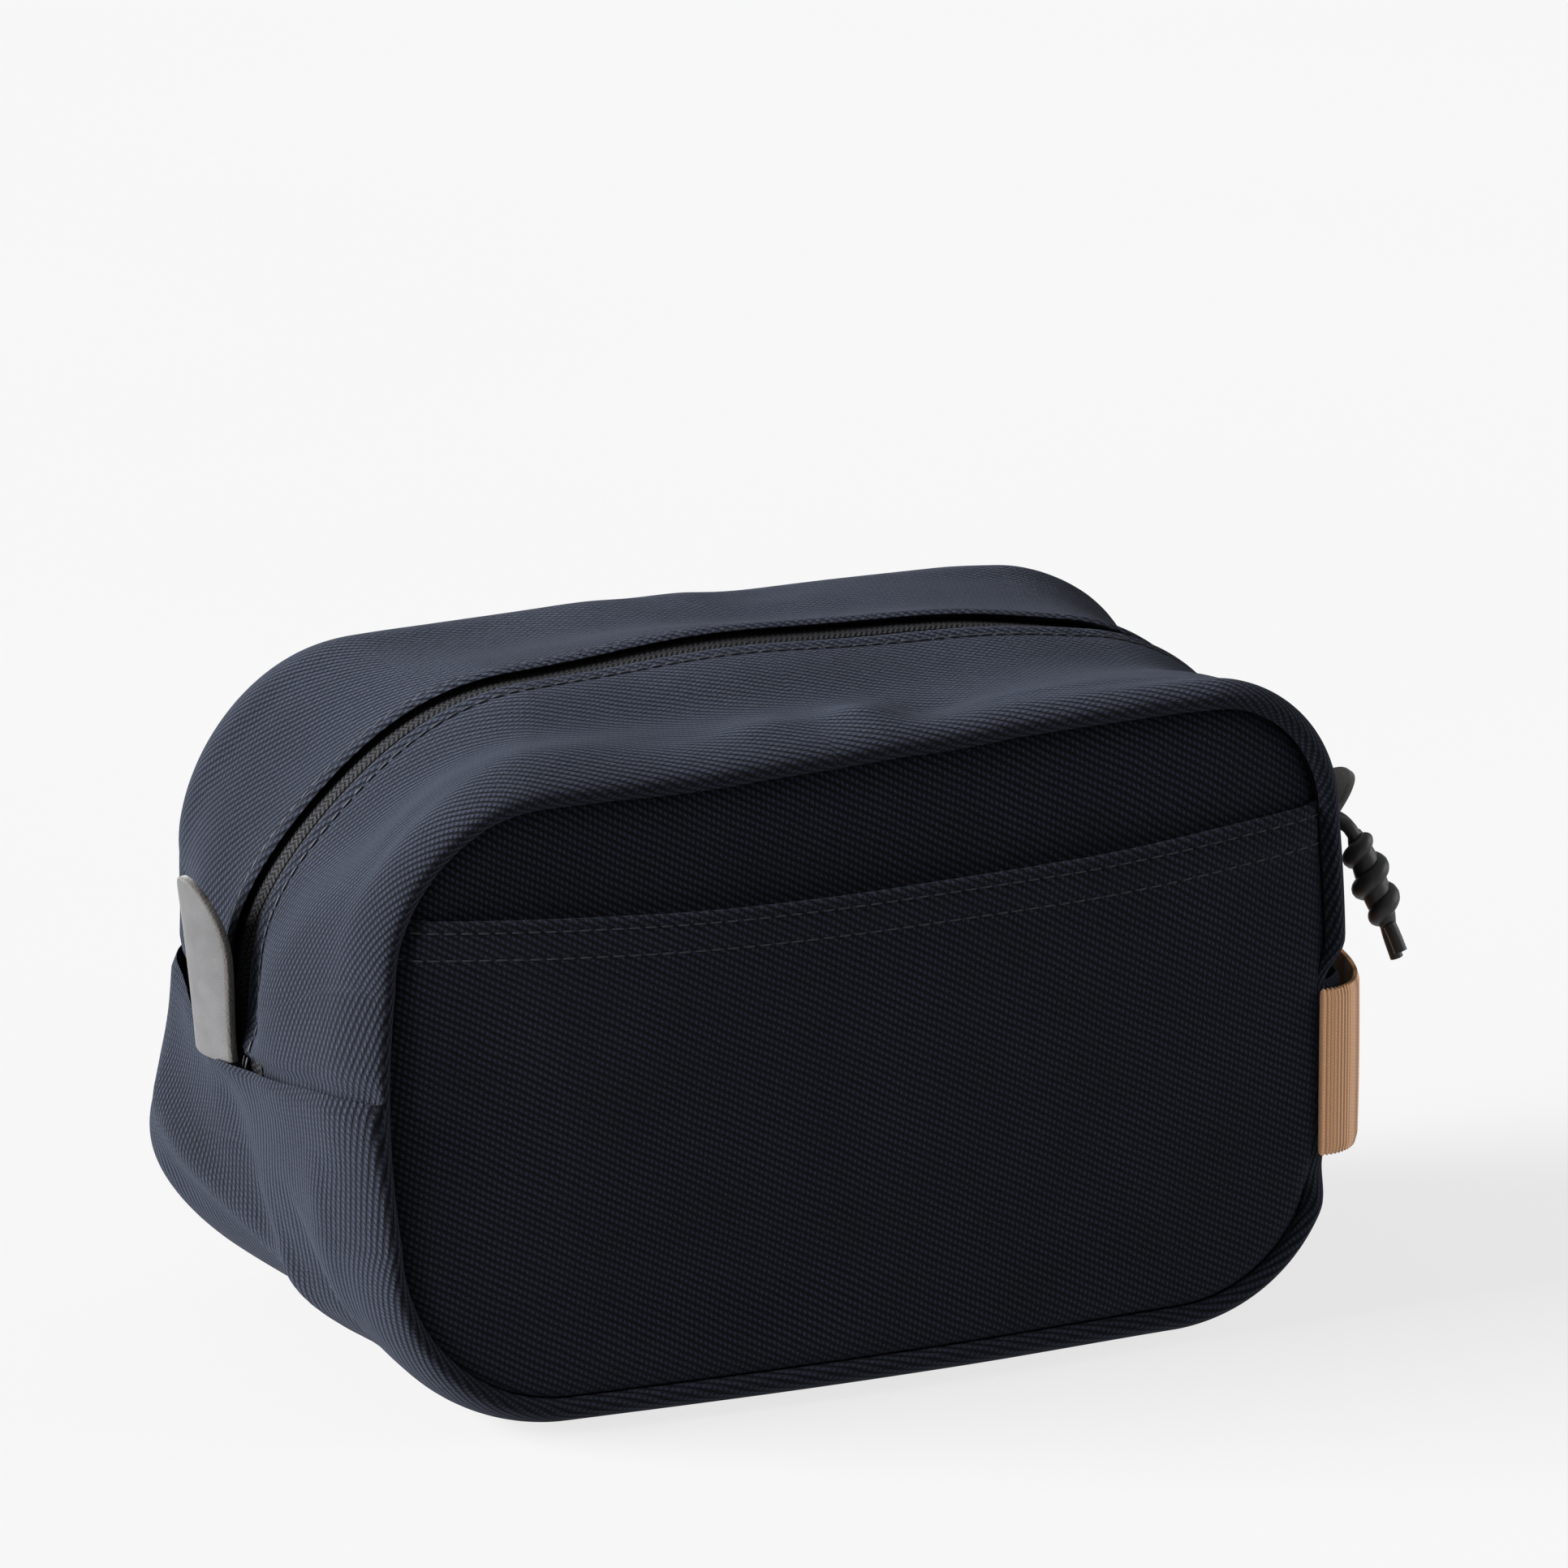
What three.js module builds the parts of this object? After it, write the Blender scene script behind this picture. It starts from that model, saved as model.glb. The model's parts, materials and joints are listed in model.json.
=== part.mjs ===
// Shaving kit bag (dopp kit): a boxy twill bag with a slip pocket on its front, a coil zip over
// its top, a leather tab at each end of the zip, a knotted leather lace on the slider and a
// webbing grab strap across its right side.
// Millimetres. +X is the bag's right seen from the front, +Y its back, +Z up. The origin is the
// middle of the flat bottom.
import * as THREE from 'three';

const GAP = 0.3; // clearance between pieces that lie against each other
const rad = THREE.MathUtils.degToRad;

// ---- driving dimensions ----

const HALF_DEPTH = 62; // from the middle to the seam plane of the front and back panels
const PANEL = { halfWidth: 107.5, bottom: 8, top: 139, bow: 2 };
const PANEL_CORNERS = { bottomRight: 34, topRight: 24, topLeft: 36, bottomLeft: 38 };
const ROLL = { out: 8, depth: 9 }; // how far the gusset rolls outside the seam, and how deep

// Half way through its depth the bag stands this far outside its panels, and its shoulders are
// these arcs.
const MIDDLE = { bulge: 10.5, riseRight: 10, riseLeft: 13 };
const MIDDLE_CORNERS = { bottomRight: 42, bottomLeft: 52 };
const SHOULDERS = { right: 46, left: 70 };
const CROWN_ANGLE = rad(7); // the shoulders end this far short of level, and the crown joins them
const SEAM_SHARE = { right: 0.48, left: 0.6 }; // height of the side seam along each side

const CANVAS = 1.4; // outer cloth with its seam allowance
const LINING = { thickness: 0.6, inset: 3.2, edge: 9 };
const TAPE = { thickness: 0.8, inner: 1, outer: 14 };
const COIL = { thickness: 2, outer: 3.4 };

const POCKET = { dropLeft: 29, dropMiddle: 33, dropRight: 25, gape: 6.5 }; // below the panel's top
const TAB = { width: 24, length: 38, thickness: 2.8, rise: 2.4, leanLeft: rad(12), leanRight: rad(36) };
const WEBBING = { width: 38.1, thickness: 1.8, bow: 22, drop: 1.5, squareness: 2.6 };

const SLIDER = { length: 13, width: 8, plate: 1.8, keelPlate: 1.4, keelDrop: 1.1, aside: 1.5 };
const BRIDGE = { length: 9, width: 2.6, wall: 1.2, drop: 1 };
const STOP = { length: 4, height: 1.2, clear: 5 };
const LACE = { diameter: 3.2, spread: 3.4, sides: 8, tail: 7 };
const KNOT = { radius: 5.4, neck: 3.2 };

const STEPS = { bottom: 6, corner: 5, side: 2, crown: 6, hem: 6, strap: 20, lace: 30 };

// Where the knot's axis starts and ends, from the bridge: beside the slider and in front of the
// right tab.
const KNOT_TOP = new THREE.Vector3(16.3, -24, -9);
const KNOT_END = new THREE.Vector3(23.3, -29, -31.5);

const MIDDLE_HALF_WIDTH = PANEL.halfWidth + MIDDLE.bulge;
const SHOULDER_RIGHT = {
  radius: SHOULDERS.right,
  height: PANEL.top + MIDDLE.riseRight - SHOULDERS.right,
};
const SHOULDER_LEFT = {
  radius: SHOULDERS.left,
  height: PANEL.top + MIDDLE.riseLeft - SHOULDERS.left,
};
const FOLD_EDGE = SLIDER.width / 2 + SLIDER.aside; // the cloth's folded edge beside the zip
const BRIDGE_OPENING = LACE.diameter + 2 * GAP;

// ---- cross-sections ----

const P = (x, z) => new THREE.Vector2(x, z);

// Each stretch leaves its last point to the stretch that follows it.
function arc(cx, cz, radius, from, to) {
  return Array.from({ length: STEPS.corner }, (_, i) => {
    const angle = from + ((to - from) * i) / STEPS.corner;
    return P(cx + radius * Math.cos(angle), cz + radius * Math.sin(angle));
  });
}

function line(from, to, steps, { start = 0, end = 1, bow = 0 } = {}) {
  return Array.from({ length: steps }, (_, i) => {
    const t = start + ((end - start) * i) / steps;
    const point = from.clone().lerp(to, t);
    point.x += bow * 4 * t * (1 - t);
    return point;
  });
}

// A closed outline in XZ as ten stretches, anticlockwise from the left end of the bottom. All
// outlines have the same steps, so that two can be blended point by point.
const STRETCH = {
  bottom: 0, cornerRight: 1, sideRightLow: 2, sideRightHigh: 3, shoulderRight: 4,
  crown: 5, shoulderLeft: 6, sideLeftHigh: 7, sideLeftLow: 8, cornerLeft: 9,
};

function outline({ halfWidth, bottom, bow, corners, right, left, crownAngle }) {
  const lowRight = P(halfWidth, bottom + corners.bottomRight);
  const lowLeft = P(-halfWidth, bottom + corners.bottomLeft);
  const highRight = P(halfWidth, right.height);
  const highLeft = P(-halfWidth, left.height);
  const lean = P(Math.sin(crownAngle), Math.cos(crownAngle));
  const centreRight = P(halfWidth - right.radius, right.height);
  const centreLeft = P(left.radius - halfWidth, left.height);
  const crownRight = lean.clone().multiplyScalar(right.radius).add(centreRight);
  const crownLeft = P(-lean.x, lean.y).multiplyScalar(left.radius).add(centreLeft);
  const peak = crownRight.clone().add(crownLeft).divideScalar(2);
  peak.y += (Math.tan(crownAngle) * (crownRight.x - crownLeft.x)) / 2;
  const crown = new THREE.QuadraticBezierCurve(crownRight, peak, crownLeft);
  const quarter = Math.PI / 2;
  const seamRight = SEAM_SHARE.right;
  const seamLeft = 1 - SEAM_SHARE.left;
  return [
    line(P(corners.bottomLeft - halfWidth, bottom), P(halfWidth - corners.bottomRight, bottom),
      STEPS.bottom),
    arc(halfWidth - corners.bottomRight, lowRight.y, corners.bottomRight, -quarter, 0),
    line(lowRight, highRight, STEPS.side, { end: seamRight, bow }),
    line(lowRight, highRight, STEPS.side, { start: seamRight, bow }),
    arc(centreRight.x, centreRight.y, right.radius, 0, quarter - crownAngle),
    crown.getPoints(STEPS.crown).slice(0, -1),
    arc(centreLeft.x, centreLeft.y, left.radius, quarter + crownAngle, 2 * quarter),
    line(highLeft, lowLeft, STEPS.side, { end: seamLeft, bow: -bow }),
    line(highLeft, lowLeft, STEPS.side, { start: seamLeft, bow: -bow }),
    arc(corners.bottomLeft - halfWidth, lowLeft.y, corners.bottomLeft, 2 * quarter, 3 * quarter),
  ];
}

const seamStretches = outline({
  ...PANEL,
  corners: PANEL_CORNERS,
  right: { radius: PANEL_CORNERS.topRight, height: PANEL.top - PANEL_CORNERS.topRight },
  left: { radius: PANEL_CORNERS.topLeft, height: PANEL.top - PANEL_CORNERS.topLeft },
  crownAngle: 0,
});
const seamLine = seamStretches.flat();
const middleLine = outline({
  halfWidth: MIDDLE_HALF_WIDTH, bottom: PANEL.bottom - ROLL.out, bow: 0, corners: MIDDLE_CORNERS,
  right: SHOULDER_RIGHT, left: SHOULDER_LEFT, crownAngle: CROWN_ANGLE,
}).flat();
const count = seamLine.length;
const wrap = (i) => (i + count) % count;

// Outward normal of the seam line at a point.
function seamNormal(i) {
  const along = seamLine[wrap(i + 1)].clone().sub(seamLine[wrap(i - 1)]).normalize();
  return P(along.y, -along.x);
}

// ---- the bag's outer skin ----

function skinPoint(i, y) {
  const depth = HALF_DEPTH - Math.abs(y);
  const short = Math.max(0, 1 - depth / ROLL.depth);
  const roll = ROLL.out * Math.sqrt(1 - short * short);
  const share = THREE.MathUtils.smoothstep(depth, 0, HALF_DEPTH);
  const point = seamNormal(i).multiplyScalar(roll).add(seamLine[wrap(i)]);
  point.lerp(middleLine[wrap(i)], share);
  return new THREE.Vector3(point.x, y, point.y);
}

function skinNormal(i, y) {
  if (Math.abs(y) >= HALF_DEPTH) return new THREE.Vector3(0, Math.sign(y), 0);
  const reach = Math.min(0.5, HALF_DEPTH - Math.abs(y));
  const along = skinPoint(i + 1, y).sub(skinPoint(i - 1, y));
  const across = skinPoint(i, y + reach).sub(skinPoint(i, y - reach));
  return across.cross(along).normalize();
}

const rollRows = [0, 30, 60, 90].map((a) => HALF_DEPTH - ROLL.depth * (1 - Math.cos(rad(a))));
const HALF_ROWS = [...rollRows, 40, 24, TAPE.outer, LINING.edge, FOLD_EDGE, TAPE.inner];
const rowsFrom = (nearest, farthest) =>
  HALF_ROWS.filter((y) => y >= nearest && y <= farthest).map((y) => -y);
const mirrorRows = (rows) => rows.map((y) => -y).reverse();

// ---- solids ----

function solid(triangles) {
  const geometry = new THREE.BufferGeometry();
  geometry.setFromPoints(triangles.flat());
  geometry.computeVertexNormals();
  return geometry;
}

// A closed sheet between an outer and an inner grid of points, both [station][row]. Rows run
// towards +Y, and stations run so that the outer face points outwards.
function sheet(outer, inner) {
  const triangles = [];
  const quad = (a, b, c, d) => triangles.push([a, b, c], [a, c, d]);
  const lastStation = outer.length - 1;
  const lastRow = outer[0].length - 1;
  for (let i = 0; i < lastStation; i++) {
    for (let j = 0; j < lastRow; j++) {
      quad(outer[i][j], outer[i][j + 1], outer[i + 1][j + 1], outer[i + 1][j]);
      quad(inner[i][j], inner[i + 1][j], inner[i + 1][j + 1], inner[i][j + 1]);
    }
    quad(outer[i][0], outer[i + 1][0], inner[i + 1][0], inner[i][0]);
    quad(outer[i + 1][lastRow], outer[i][lastRow], inner[i][lastRow], inner[i + 1][lastRow]);
  }
  for (let j = 0; j < lastRow; j++) {
    quad(outer[0][j], inner[0][j], inner[0][j + 1], outer[0][j + 1]);
    quad(outer[lastStation][j + 1], inner[lastStation][j + 1], inner[lastStation][j],
      outer[lastStation][j]);
  }
  return solid(triangles);
}

// Moves the ends of a row of stations inwards by half a gap, so that neighbours stay apart.
function trimEnds(grid) {
  const pull = (end, next) =>
    end.map((point, j) => point.clone().add(
      next[j].clone().sub(point).setLength(GAP / 2)));
  const last = grid.length - 1;
  return [pull(grid[0], grid[1]), ...grid.slice(1, last), pull(grid[last], grid[last - 1])];
}

// A layer of the gusset over whole stretches of the outline, between two depths below the skin.
function layer(stretches, rows, from, to) {
  const starts = seamStretches.map((_, k) => seamStretches.slice(0, k).flat().length);
  const first = starts[stretches[0]];
  const steps = stretches.reduce((sum, k) => sum + seamStretches[k].length, 0);
  const grid = (inset) => trimEnds(Array.from({ length: steps + 1 }, (_, s) =>
    rows.map((y) => skinPoint(first + s, y).addScaledVector(skinNormal(first + s, y), -inset))));
  return sheet(grid(from), grid(to));
}

// ---- materials ----

const finish = (color, roughness, metalness = 0) =>
  new THREE.MeshStandardMaterial({ color, roughness, metalness });
const MATERIAL = {
  twill: finish(0x20242d, 0.9),
  lining: finish(0x4a4e52, 0.7),
  tape: finish(0x232325, 0.85),
  coil: finish(0x151517, 0.5),
  metal: finish(0x2b2a29, 0.35, 1),
  leather: finish(0x3a312a, 0.6),
  lace: finish(0x0e0e10, 0.45),
  webbing: finish(0xb98a5e, 0.85),
};

const bag = new THREE.Group();

function add(name, geometry, material, place = () => {}) {
  const mesh = new THREE.Mesh(geometry, material);
  mesh.name = name;
  place(mesh);
  bag.add(mesh);
  return mesh;
}

// ---- front and back ----

function extrude(shape, depth) {
  return new THREE.ExtrudeGeometry(shape, { depth, bevelEnabled: false });
}

// A flat panel on the seam line, from y to y + thickness.
function panel(name, y, thickness, material) {
  const points = seamLine.map((point, i) => point.clone().addScaledVector(seamNormal(i), -GAP));
  const geometry = extrude(new THREE.Shape(points), thickness).rotateX(Math.PI / 2);
  add(name, geometry, material, (mesh) => mesh.position.set(0, y + thickness, 0));
}

const LINING_FACE = HALF_DEPTH - CANVAS - GAP;
panel('front_panel', -HALF_DEPTH, CANVAS, MATERIAL.twill);
panel('back_panel', HALF_DEPTH - CANVAS, CANVAS, MATERIAL.twill);
panel('lining_front', -LINING_FACE, LINING.thickness, MATERIAL.lining);
panel('lining_back', LINING_FACE - LINING.thickness, LINING.thickness, MATERIAL.lining);

// The slip pocket: one cloth over the lower front, its hem a gentle curve that lifts at the
// right seam, and its mouth standing a little proud of the panel.
function pocket() {
  const { bottom, cornerRight, cornerLeft } = STRETCH;
  const edge = [cornerLeft, bottom, cornerRight].flatMap((k) => seamStretches[k]);
  edge.push(seamStretches[STRETCH.sideRightLow][0]);
  const half = PANEL.halfWidth;
  const hem = (x) => {
    const across = (x + half) / (2 * half);
    const { dropLeft, dropMiddle, dropRight } = POCKET;
    const drop = THREE.MathUtils.lerp(dropLeft, dropMiddle, Math.min(1, across / 0.8));
    return PANEL.top - drop + (dropMiddle - dropRight) * Math.max(0, across / 0.2 - 4) ** 2;
  };
  // The sides of the pocket follow the bow of the side seams.
  const bowAt = (x, z) => {
    const low = PANEL.bottom + (x < 0 ? PANEL_CORNERS.bottomLeft : PANEL_CORNERS.bottomRight);
    const high = PANEL.top - (x < 0 ? PANEL_CORNERS.topLeft : PANEL_CORNERS.topRight);
    const t = THREE.MathUtils.clamp((z - low) / (high - low), 0, 1);
    return PANEL.bow * 4 * t * (1 - t) * (x / half) ** 3;
  };
  const grid = (inset) => edge.slice().reverse().map(({ x, y: z }) => {
    const inside = THREE.MathUtils.clamp(x, GAP - half, half - GAP);
    return Array.from({ length: STEPS.hem + 1 }, (_, j) => {
      const t = j / STEPS.hem;
      const belly = POCKET.gape * (1 - (x / half) ** 2) * t ** 1.5;
      const height = THREE.MathUtils.lerp(z + GAP, hem(x), t);
      const y = inset - HALF_DEPTH - GAP - CANVAS - belly;
      return new THREE.Vector3(inside + bowAt(inside, height), y, height);
    });
  });
  add('pocket_panel', sheet(grid(0), grid(CANVAS)), MATERIAL.twill);
}
pocket();

// ---- gusset ----

const { sideLeftLow, cornerLeft, bottom, cornerRight, sideRightLow } = STRETCH;
const LOWER = [sideLeftLow, cornerLeft, bottom, cornerRight, sideRightLow];
const UPPER = {
  right: [STRETCH.sideRightHigh, STRETCH.shoulderRight],
  middle: [STRETCH.crown],
  left: [STRETCH.shoulderLeft, STRETCH.sideLeftHigh],
};

function lowerLayer(name, from, to, material) {
  const rows = rowsFrom(FOLD_EDGE, HALF_DEPTH);
  add(name, layer(LOWER, [...rows, 0, ...mirrorRows(rows)], from, to), material);
}
lowerLayer('gusset_lower', 0, CANVAS, MATERIAL.twill);
lowerLayer('lining_lower', LINING.inset, LINING.inset + LINING.thickness, MATERIAL.lining);

// Both halves of the top: cloth, lining, zip tape and coil, each in a left, a middle and a right
// length, because the middle lifts when the mouth opens.
const TAPE_TOP = CANVAS + GAP;
const COIL_TOP = TAPE_TOP + TAPE.thickness + GAP;
const COIL_ROWS = [-COIL.outer, -TAPE.inner];
const TOP_LAYERS = [
  ['gusset_top', rowsFrom(FOLD_EDGE, HALF_DEPTH), 0, CANVAS, MATERIAL.twill],
  ['lining_top', rowsFrom(LINING.edge, HALF_DEPTH), LINING.inset,
    LINING.inset + LINING.thickness, MATERIAL.lining],
  ['zip_tape', rowsFrom(TAPE.inner, TAPE.outer), TAPE_TOP, TAPE_TOP + TAPE.thickness,
    MATERIAL.tape],
  ['zip_coil', COIL_ROWS, COIL_TOP, COIL_TOP + COIL.thickness, MATERIAL.coil],
];
for (const [kind, rows, from, to, material] of TOP_LAYERS) {
  for (const [length, stretches] of Object.entries(UPPER)) {
    add(`${kind}_front_${length}`, layer(stretches, rows, from, to), material);
    add(`${kind}_back_${length}`, layer(stretches, mirrorRows(rows), from, to), material);
  }
}

// ---- leather tabs ----

// A tab standing on its hinge line, its outer face towards +X: a rounded tip and a rounded root.
function tabGeometry() {
  const { width, length, thickness } = TAB;
  const tipRadius = width / 2;
  const root = [80, 40].map((a) => ({
    height: (-thickness / 2) * Math.sin(rad(a)),
    half: width / 2,
    depth: thickness * Math.cos(rad(a)),
  }));
  const tip = [0, 25, 50, 70].map((a) => ({
    height: length - tipRadius + tipRadius * Math.sin(rad(a)),
    half: tipRadius * Math.cos(rad(a)),
    depth: thickness,
  }));
  const stations = [...root, { height: 0, half: width / 2, depth: thickness }, ...tip];
  const face = (side) => stations.map(({ height, half, depth }) =>
    [-1, -1 / 3, 1 / 3, 1].map((share) =>
      new THREE.Vector3((side * depth) / 2, half * share, height)));
  return sheet(face(1), face(-1));
}

const sideSeam = (stretch) => {
  const first = seamStretches.slice(0, stretch).flat().length;
  return middleLine[first].y;
};
const TAB_STAND = TAB.thickness / 2 + 2 * GAP;
add('tab_right', tabGeometry(), MATERIAL.leather, (mesh) => {
  const height = sideSeam(STRETCH.sideRightHigh) + TAB.rise;
  mesh.position.set(MIDDLE_HALF_WIDTH + TAB_STAND, 0, height);
  mesh.rotation.y = TAB.leanRight;
});
add('tab_left', tabGeometry().rotateZ(Math.PI), MATERIAL.leather, (mesh) => {
  const height = sideSeam(STRETCH.sideLeftLow) + TAB.rise;
  mesh.position.set(-MIDDLE_HALF_WIDTH - TAB_STAND, 0, height);
  mesh.rotation.y = -TAB.leanLeft;
});

// ---- side strap ----

// Webbing sewn into both right-hand seams just under the side seam, with slack: its line seen
// from above is a superellipse that stands off the bag's side.
function strap() {
  const start = seamLine[seamStretches.slice(0, STRETCH.sideRightHigh).flat().length];
  const halfSpan = HALF_DEPTH + WEBBING.thickness / 2 + GAP;
  const top = start.y - WEBBING.drop;
  const power = WEBBING.squareness;
  const foot = start.x + GAP;
  const at = (angle, out) => {
    const c = Math.cos(angle);
    const s = Math.sin(angle);
    const x = WEBBING.bow * Math.abs(c) ** (2 / power);
    const y = halfSpan * Math.sign(s) * Math.abs(s) ** (2 / power);
    const normal = P(
      Math.abs(x / WEBBING.bow) ** (power - 1) / WEBBING.bow,
      (Math.sign(y) * Math.abs(y / halfSpan) ** (power - 1)) / halfSpan,
    ).normalize();
    return P(foot + x, y).addScaledVector(normal, out);
  };
  const line = (out) => Array.from({ length: STEPS.strap + 1 }, (_, i) =>
    at(THREE.MathUtils.lerp(Math.PI / 2, -Math.PI / 2, i / STEPS.strap), out));
  const half = WEBBING.thickness / 2;
  const outer = line(half);
  const inner = line(-half);
  const grid = (side, z) => side.map((point) => new THREE.Vector3(point.x, point.y, z));
  const rows = (side) => grid(side, top - WEBBING.width).map((low, i) => [low,
    grid(side, top)[i]]);
  return sheet(rows(outer), rows(inner));
}
add('side_strap', strap(), MATERIAL.webbing);

// ---- slider, lace and zip stops ----

// An upper and a lower plate joined by a keel that runs between the tapes.
function sliderGeometry() {
  const { length, width, plate, keelPlate, keelDrop } = SLIDER;
  const half = width / 2;
  const keel = TAPE.inner - GAP;
  const plateBottom = GAP - TAPE_TOP;
  const keelTop = -(COIL_TOP + COIL.thickness + keelDrop);
  const shape = new THREE.Shape([
    P(-half, plateBottom), P(-keel, plateBottom), P(-keel, keelTop), P(-half, keelTop),
    P(-half, keelTop - keelPlate), P(half, keelTop - keelPlate), P(half, keelTop),
    P(keel, keelTop), P(keel, plateBottom), P(half, plateBottom),
    P(half, plateBottom + plate), P(-half, plateBottom + plate),
  ]);
  return extrude(shape, length).translate(0, 0, -length / 2);
}

// The loop on the upper plate that the lace runs through.
function bridgeGeometry() {
  const { length, width, wall } = BRIDGE;
  const half = length / 2;
  const opening = BRIDGE_OPENING;
  const outside = opening + wall;
  const shape = new THREE.Shape([
    P(-half, 0), P(wall - half, 0), P(wall - half, opening), P(half - wall, opening),
    P(half - wall, 0), P(half, 0), P(half, outside - wall), P(half - wall, outside),
    P(wall - half, outside), P(-half, outside - wall),
  ]);
  return extrude(shape, width).translate(0, 0, -width / 2);
}

const sliderTop = SLIDER.plate + GAP - TAPE_TOP;
const bridgeFoot = MIDDLE_HALF_WIDTH + sliderTop + GAP;
const bridgeHeight = SHOULDER_RIGHT.height - BRIDGE.drop;
add('slider', sliderGeometry(), MATERIAL.metal, (mesh) => {
  mesh.position.set(MIDDLE_HALF_WIDTH, 0, SHOULDER_RIGHT.height);
  mesh.quaternion.setFromRotationMatrix(new THREE.Matrix4().makeBasis(
    new THREE.Vector3(0, 1, 0), new THREE.Vector3(1, 0, 0), new THREE.Vector3(0, 0, -1)));
});
add('slider_bridge', bridgeGeometry(), MATERIAL.metal, (mesh) => {
  mesh.position.set(bridgeFoot, 0, bridgeHeight);
  mesh.quaternion.setFromRotationMatrix(new THREE.Matrix4().makeBasis(
    new THREE.Vector3(0, 0, -1), new THREE.Vector3(1, 0, 0), new THREE.Vector3(0, -1, 0)));
});

function tube(curve, radius, steps) {
  const ring = Array.from({ length: LACE.sides }, (_, i) => {
    const angle = (2 * Math.PI * i) / LACE.sides;
    return P(radius * Math.cos(angle), radius * Math.sin(angle));
  });
  return new THREE.ExtrudeGeometry(new THREE.Shape(ring), { steps, extrudePath: curve });
}

// The lace runs through the bridge, and both strands pass in front of the tab to the knot.
const laceEye = new THREE.Vector3(bridgeFoot + BRIDGE_OPENING / 2, 0, bridgeHeight);
const knotAxis = KNOT_END.clone().sub(KNOT_TOP).normalize();
const nearKnot = (x, y, z) => new THREE.Vector3(x, y, z).add(KNOT_TOP).add(laceEye);
const nearEye = (x, y, z) => new THREE.Vector3(x, y, z).add(laceEye);
const laceWay = [
  nearKnot(-0.6, 5, 0.2),
  nearKnot(-5, 8.2, 3),
  nearEye(9.2, -8, -1.6),
  nearEye(7.4, -1, -0.4),
  nearEye(4.6, 5, 0),
  nearEye(0.8, 5.2, 0),
  nearEye(0, LACE.spread / 2, 0),
  nearEye(0, -LACE.spread / 2, 0),
  nearEye(1.4, -6.2, -0.4),
  nearEye(5.2, -12.6, -2),
  nearKnot(-4.4, 3.6, 2.2),
  nearKnot(-0.8, 0.9, 0.5),
];
add('lace_loop', tube(new THREE.CatmullRomCurve3(laceWay, false, 'centripetal'),
  LACE.diameter / 2, STEPS.lace), MATERIAL.lace);

// The knot, wound from both strands: a barrel with a waist between its turns.
function knotGeometry(length) {
  const profile = [P(0, 0), P(KNOT.neck, 0)];
  for (const share of [0.18, 0.3, 0.42, 0.55, 0.68, 0.82]) {
    const swell = Math.sin(Math.PI * share) ** 0.5;
    profile.push(P(KNOT.radius * swell, share * length));
  }
  profile.push(P(KNOT.neck, length), P(0, length));
  return new THREE.LatheGeometry(profile, 12);
}
const knotLength = KNOT_END.distanceTo(KNOT_TOP) - LACE.diameter;
add('lace_knot', knotGeometry(knotLength), MATERIAL.lace, (mesh) => {
  mesh.position.copy(nearKnot(0, 0, 0)).addScaledVector(knotAxis, LACE.diameter / 2 + GAP);
  mesh.quaternion.setFromUnitVectors(new THREE.Vector3(0, 1, 0), knotAxis);
});

// The two cut ends of the lace, side by side below the knot.
const aside = new THREE.Vector3(0, 1, 0).projectOnPlane(knotAxis).normalize();
for (const [name, side] of [['lace_end_front', -1], ['lace_end_back', 1]]) {
  const below = LACE.diameter / 2 + knotLength + 2 * GAP;
  const foot = nearKnot(0, 0, 0).addScaledVector(knotAxis, below);
  foot.addScaledVector(aside, (side * (LACE.diameter + GAP)) / 2);
  const end = foot.clone().addScaledVector(knotAxis, LACE.tail);
  add(name, tube(new THREE.LineCurve3(foot, end), LACE.diameter / 2, 1), MATERIAL.lace);
}

// A staple over both tapes at each end of the coil.
for (const [name, side, stretch] of [
  ['zip_stop_right', 1, STRETCH.sideRightHigh], ['zip_stop_left', -1, STRETCH.sideLeftLow]]) {
  const geometry = new THREE.BoxGeometry(STOP.height, SLIDER.width, STOP.length);
  add(name, geometry, MATERIAL.metal, (mesh) => mesh.position.set(
    side * (MIDDLE_HALF_WIDTH - TAPE_TOP + GAP + STOP.height / 2), 0,
    sideSeam(stretch) + STOP.clear));
}

export default bag;
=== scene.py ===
"""Shaving kit bag: twill body with a slip pocket, coil zip, leather tabs, lace pull and side strap.

Lengths are in millimetres while shapes are worked out, and become metres when a mesh is made.
"""
import json
import math

import bpy
import numpy as np
from mathutils import Matrix, Vector


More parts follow.
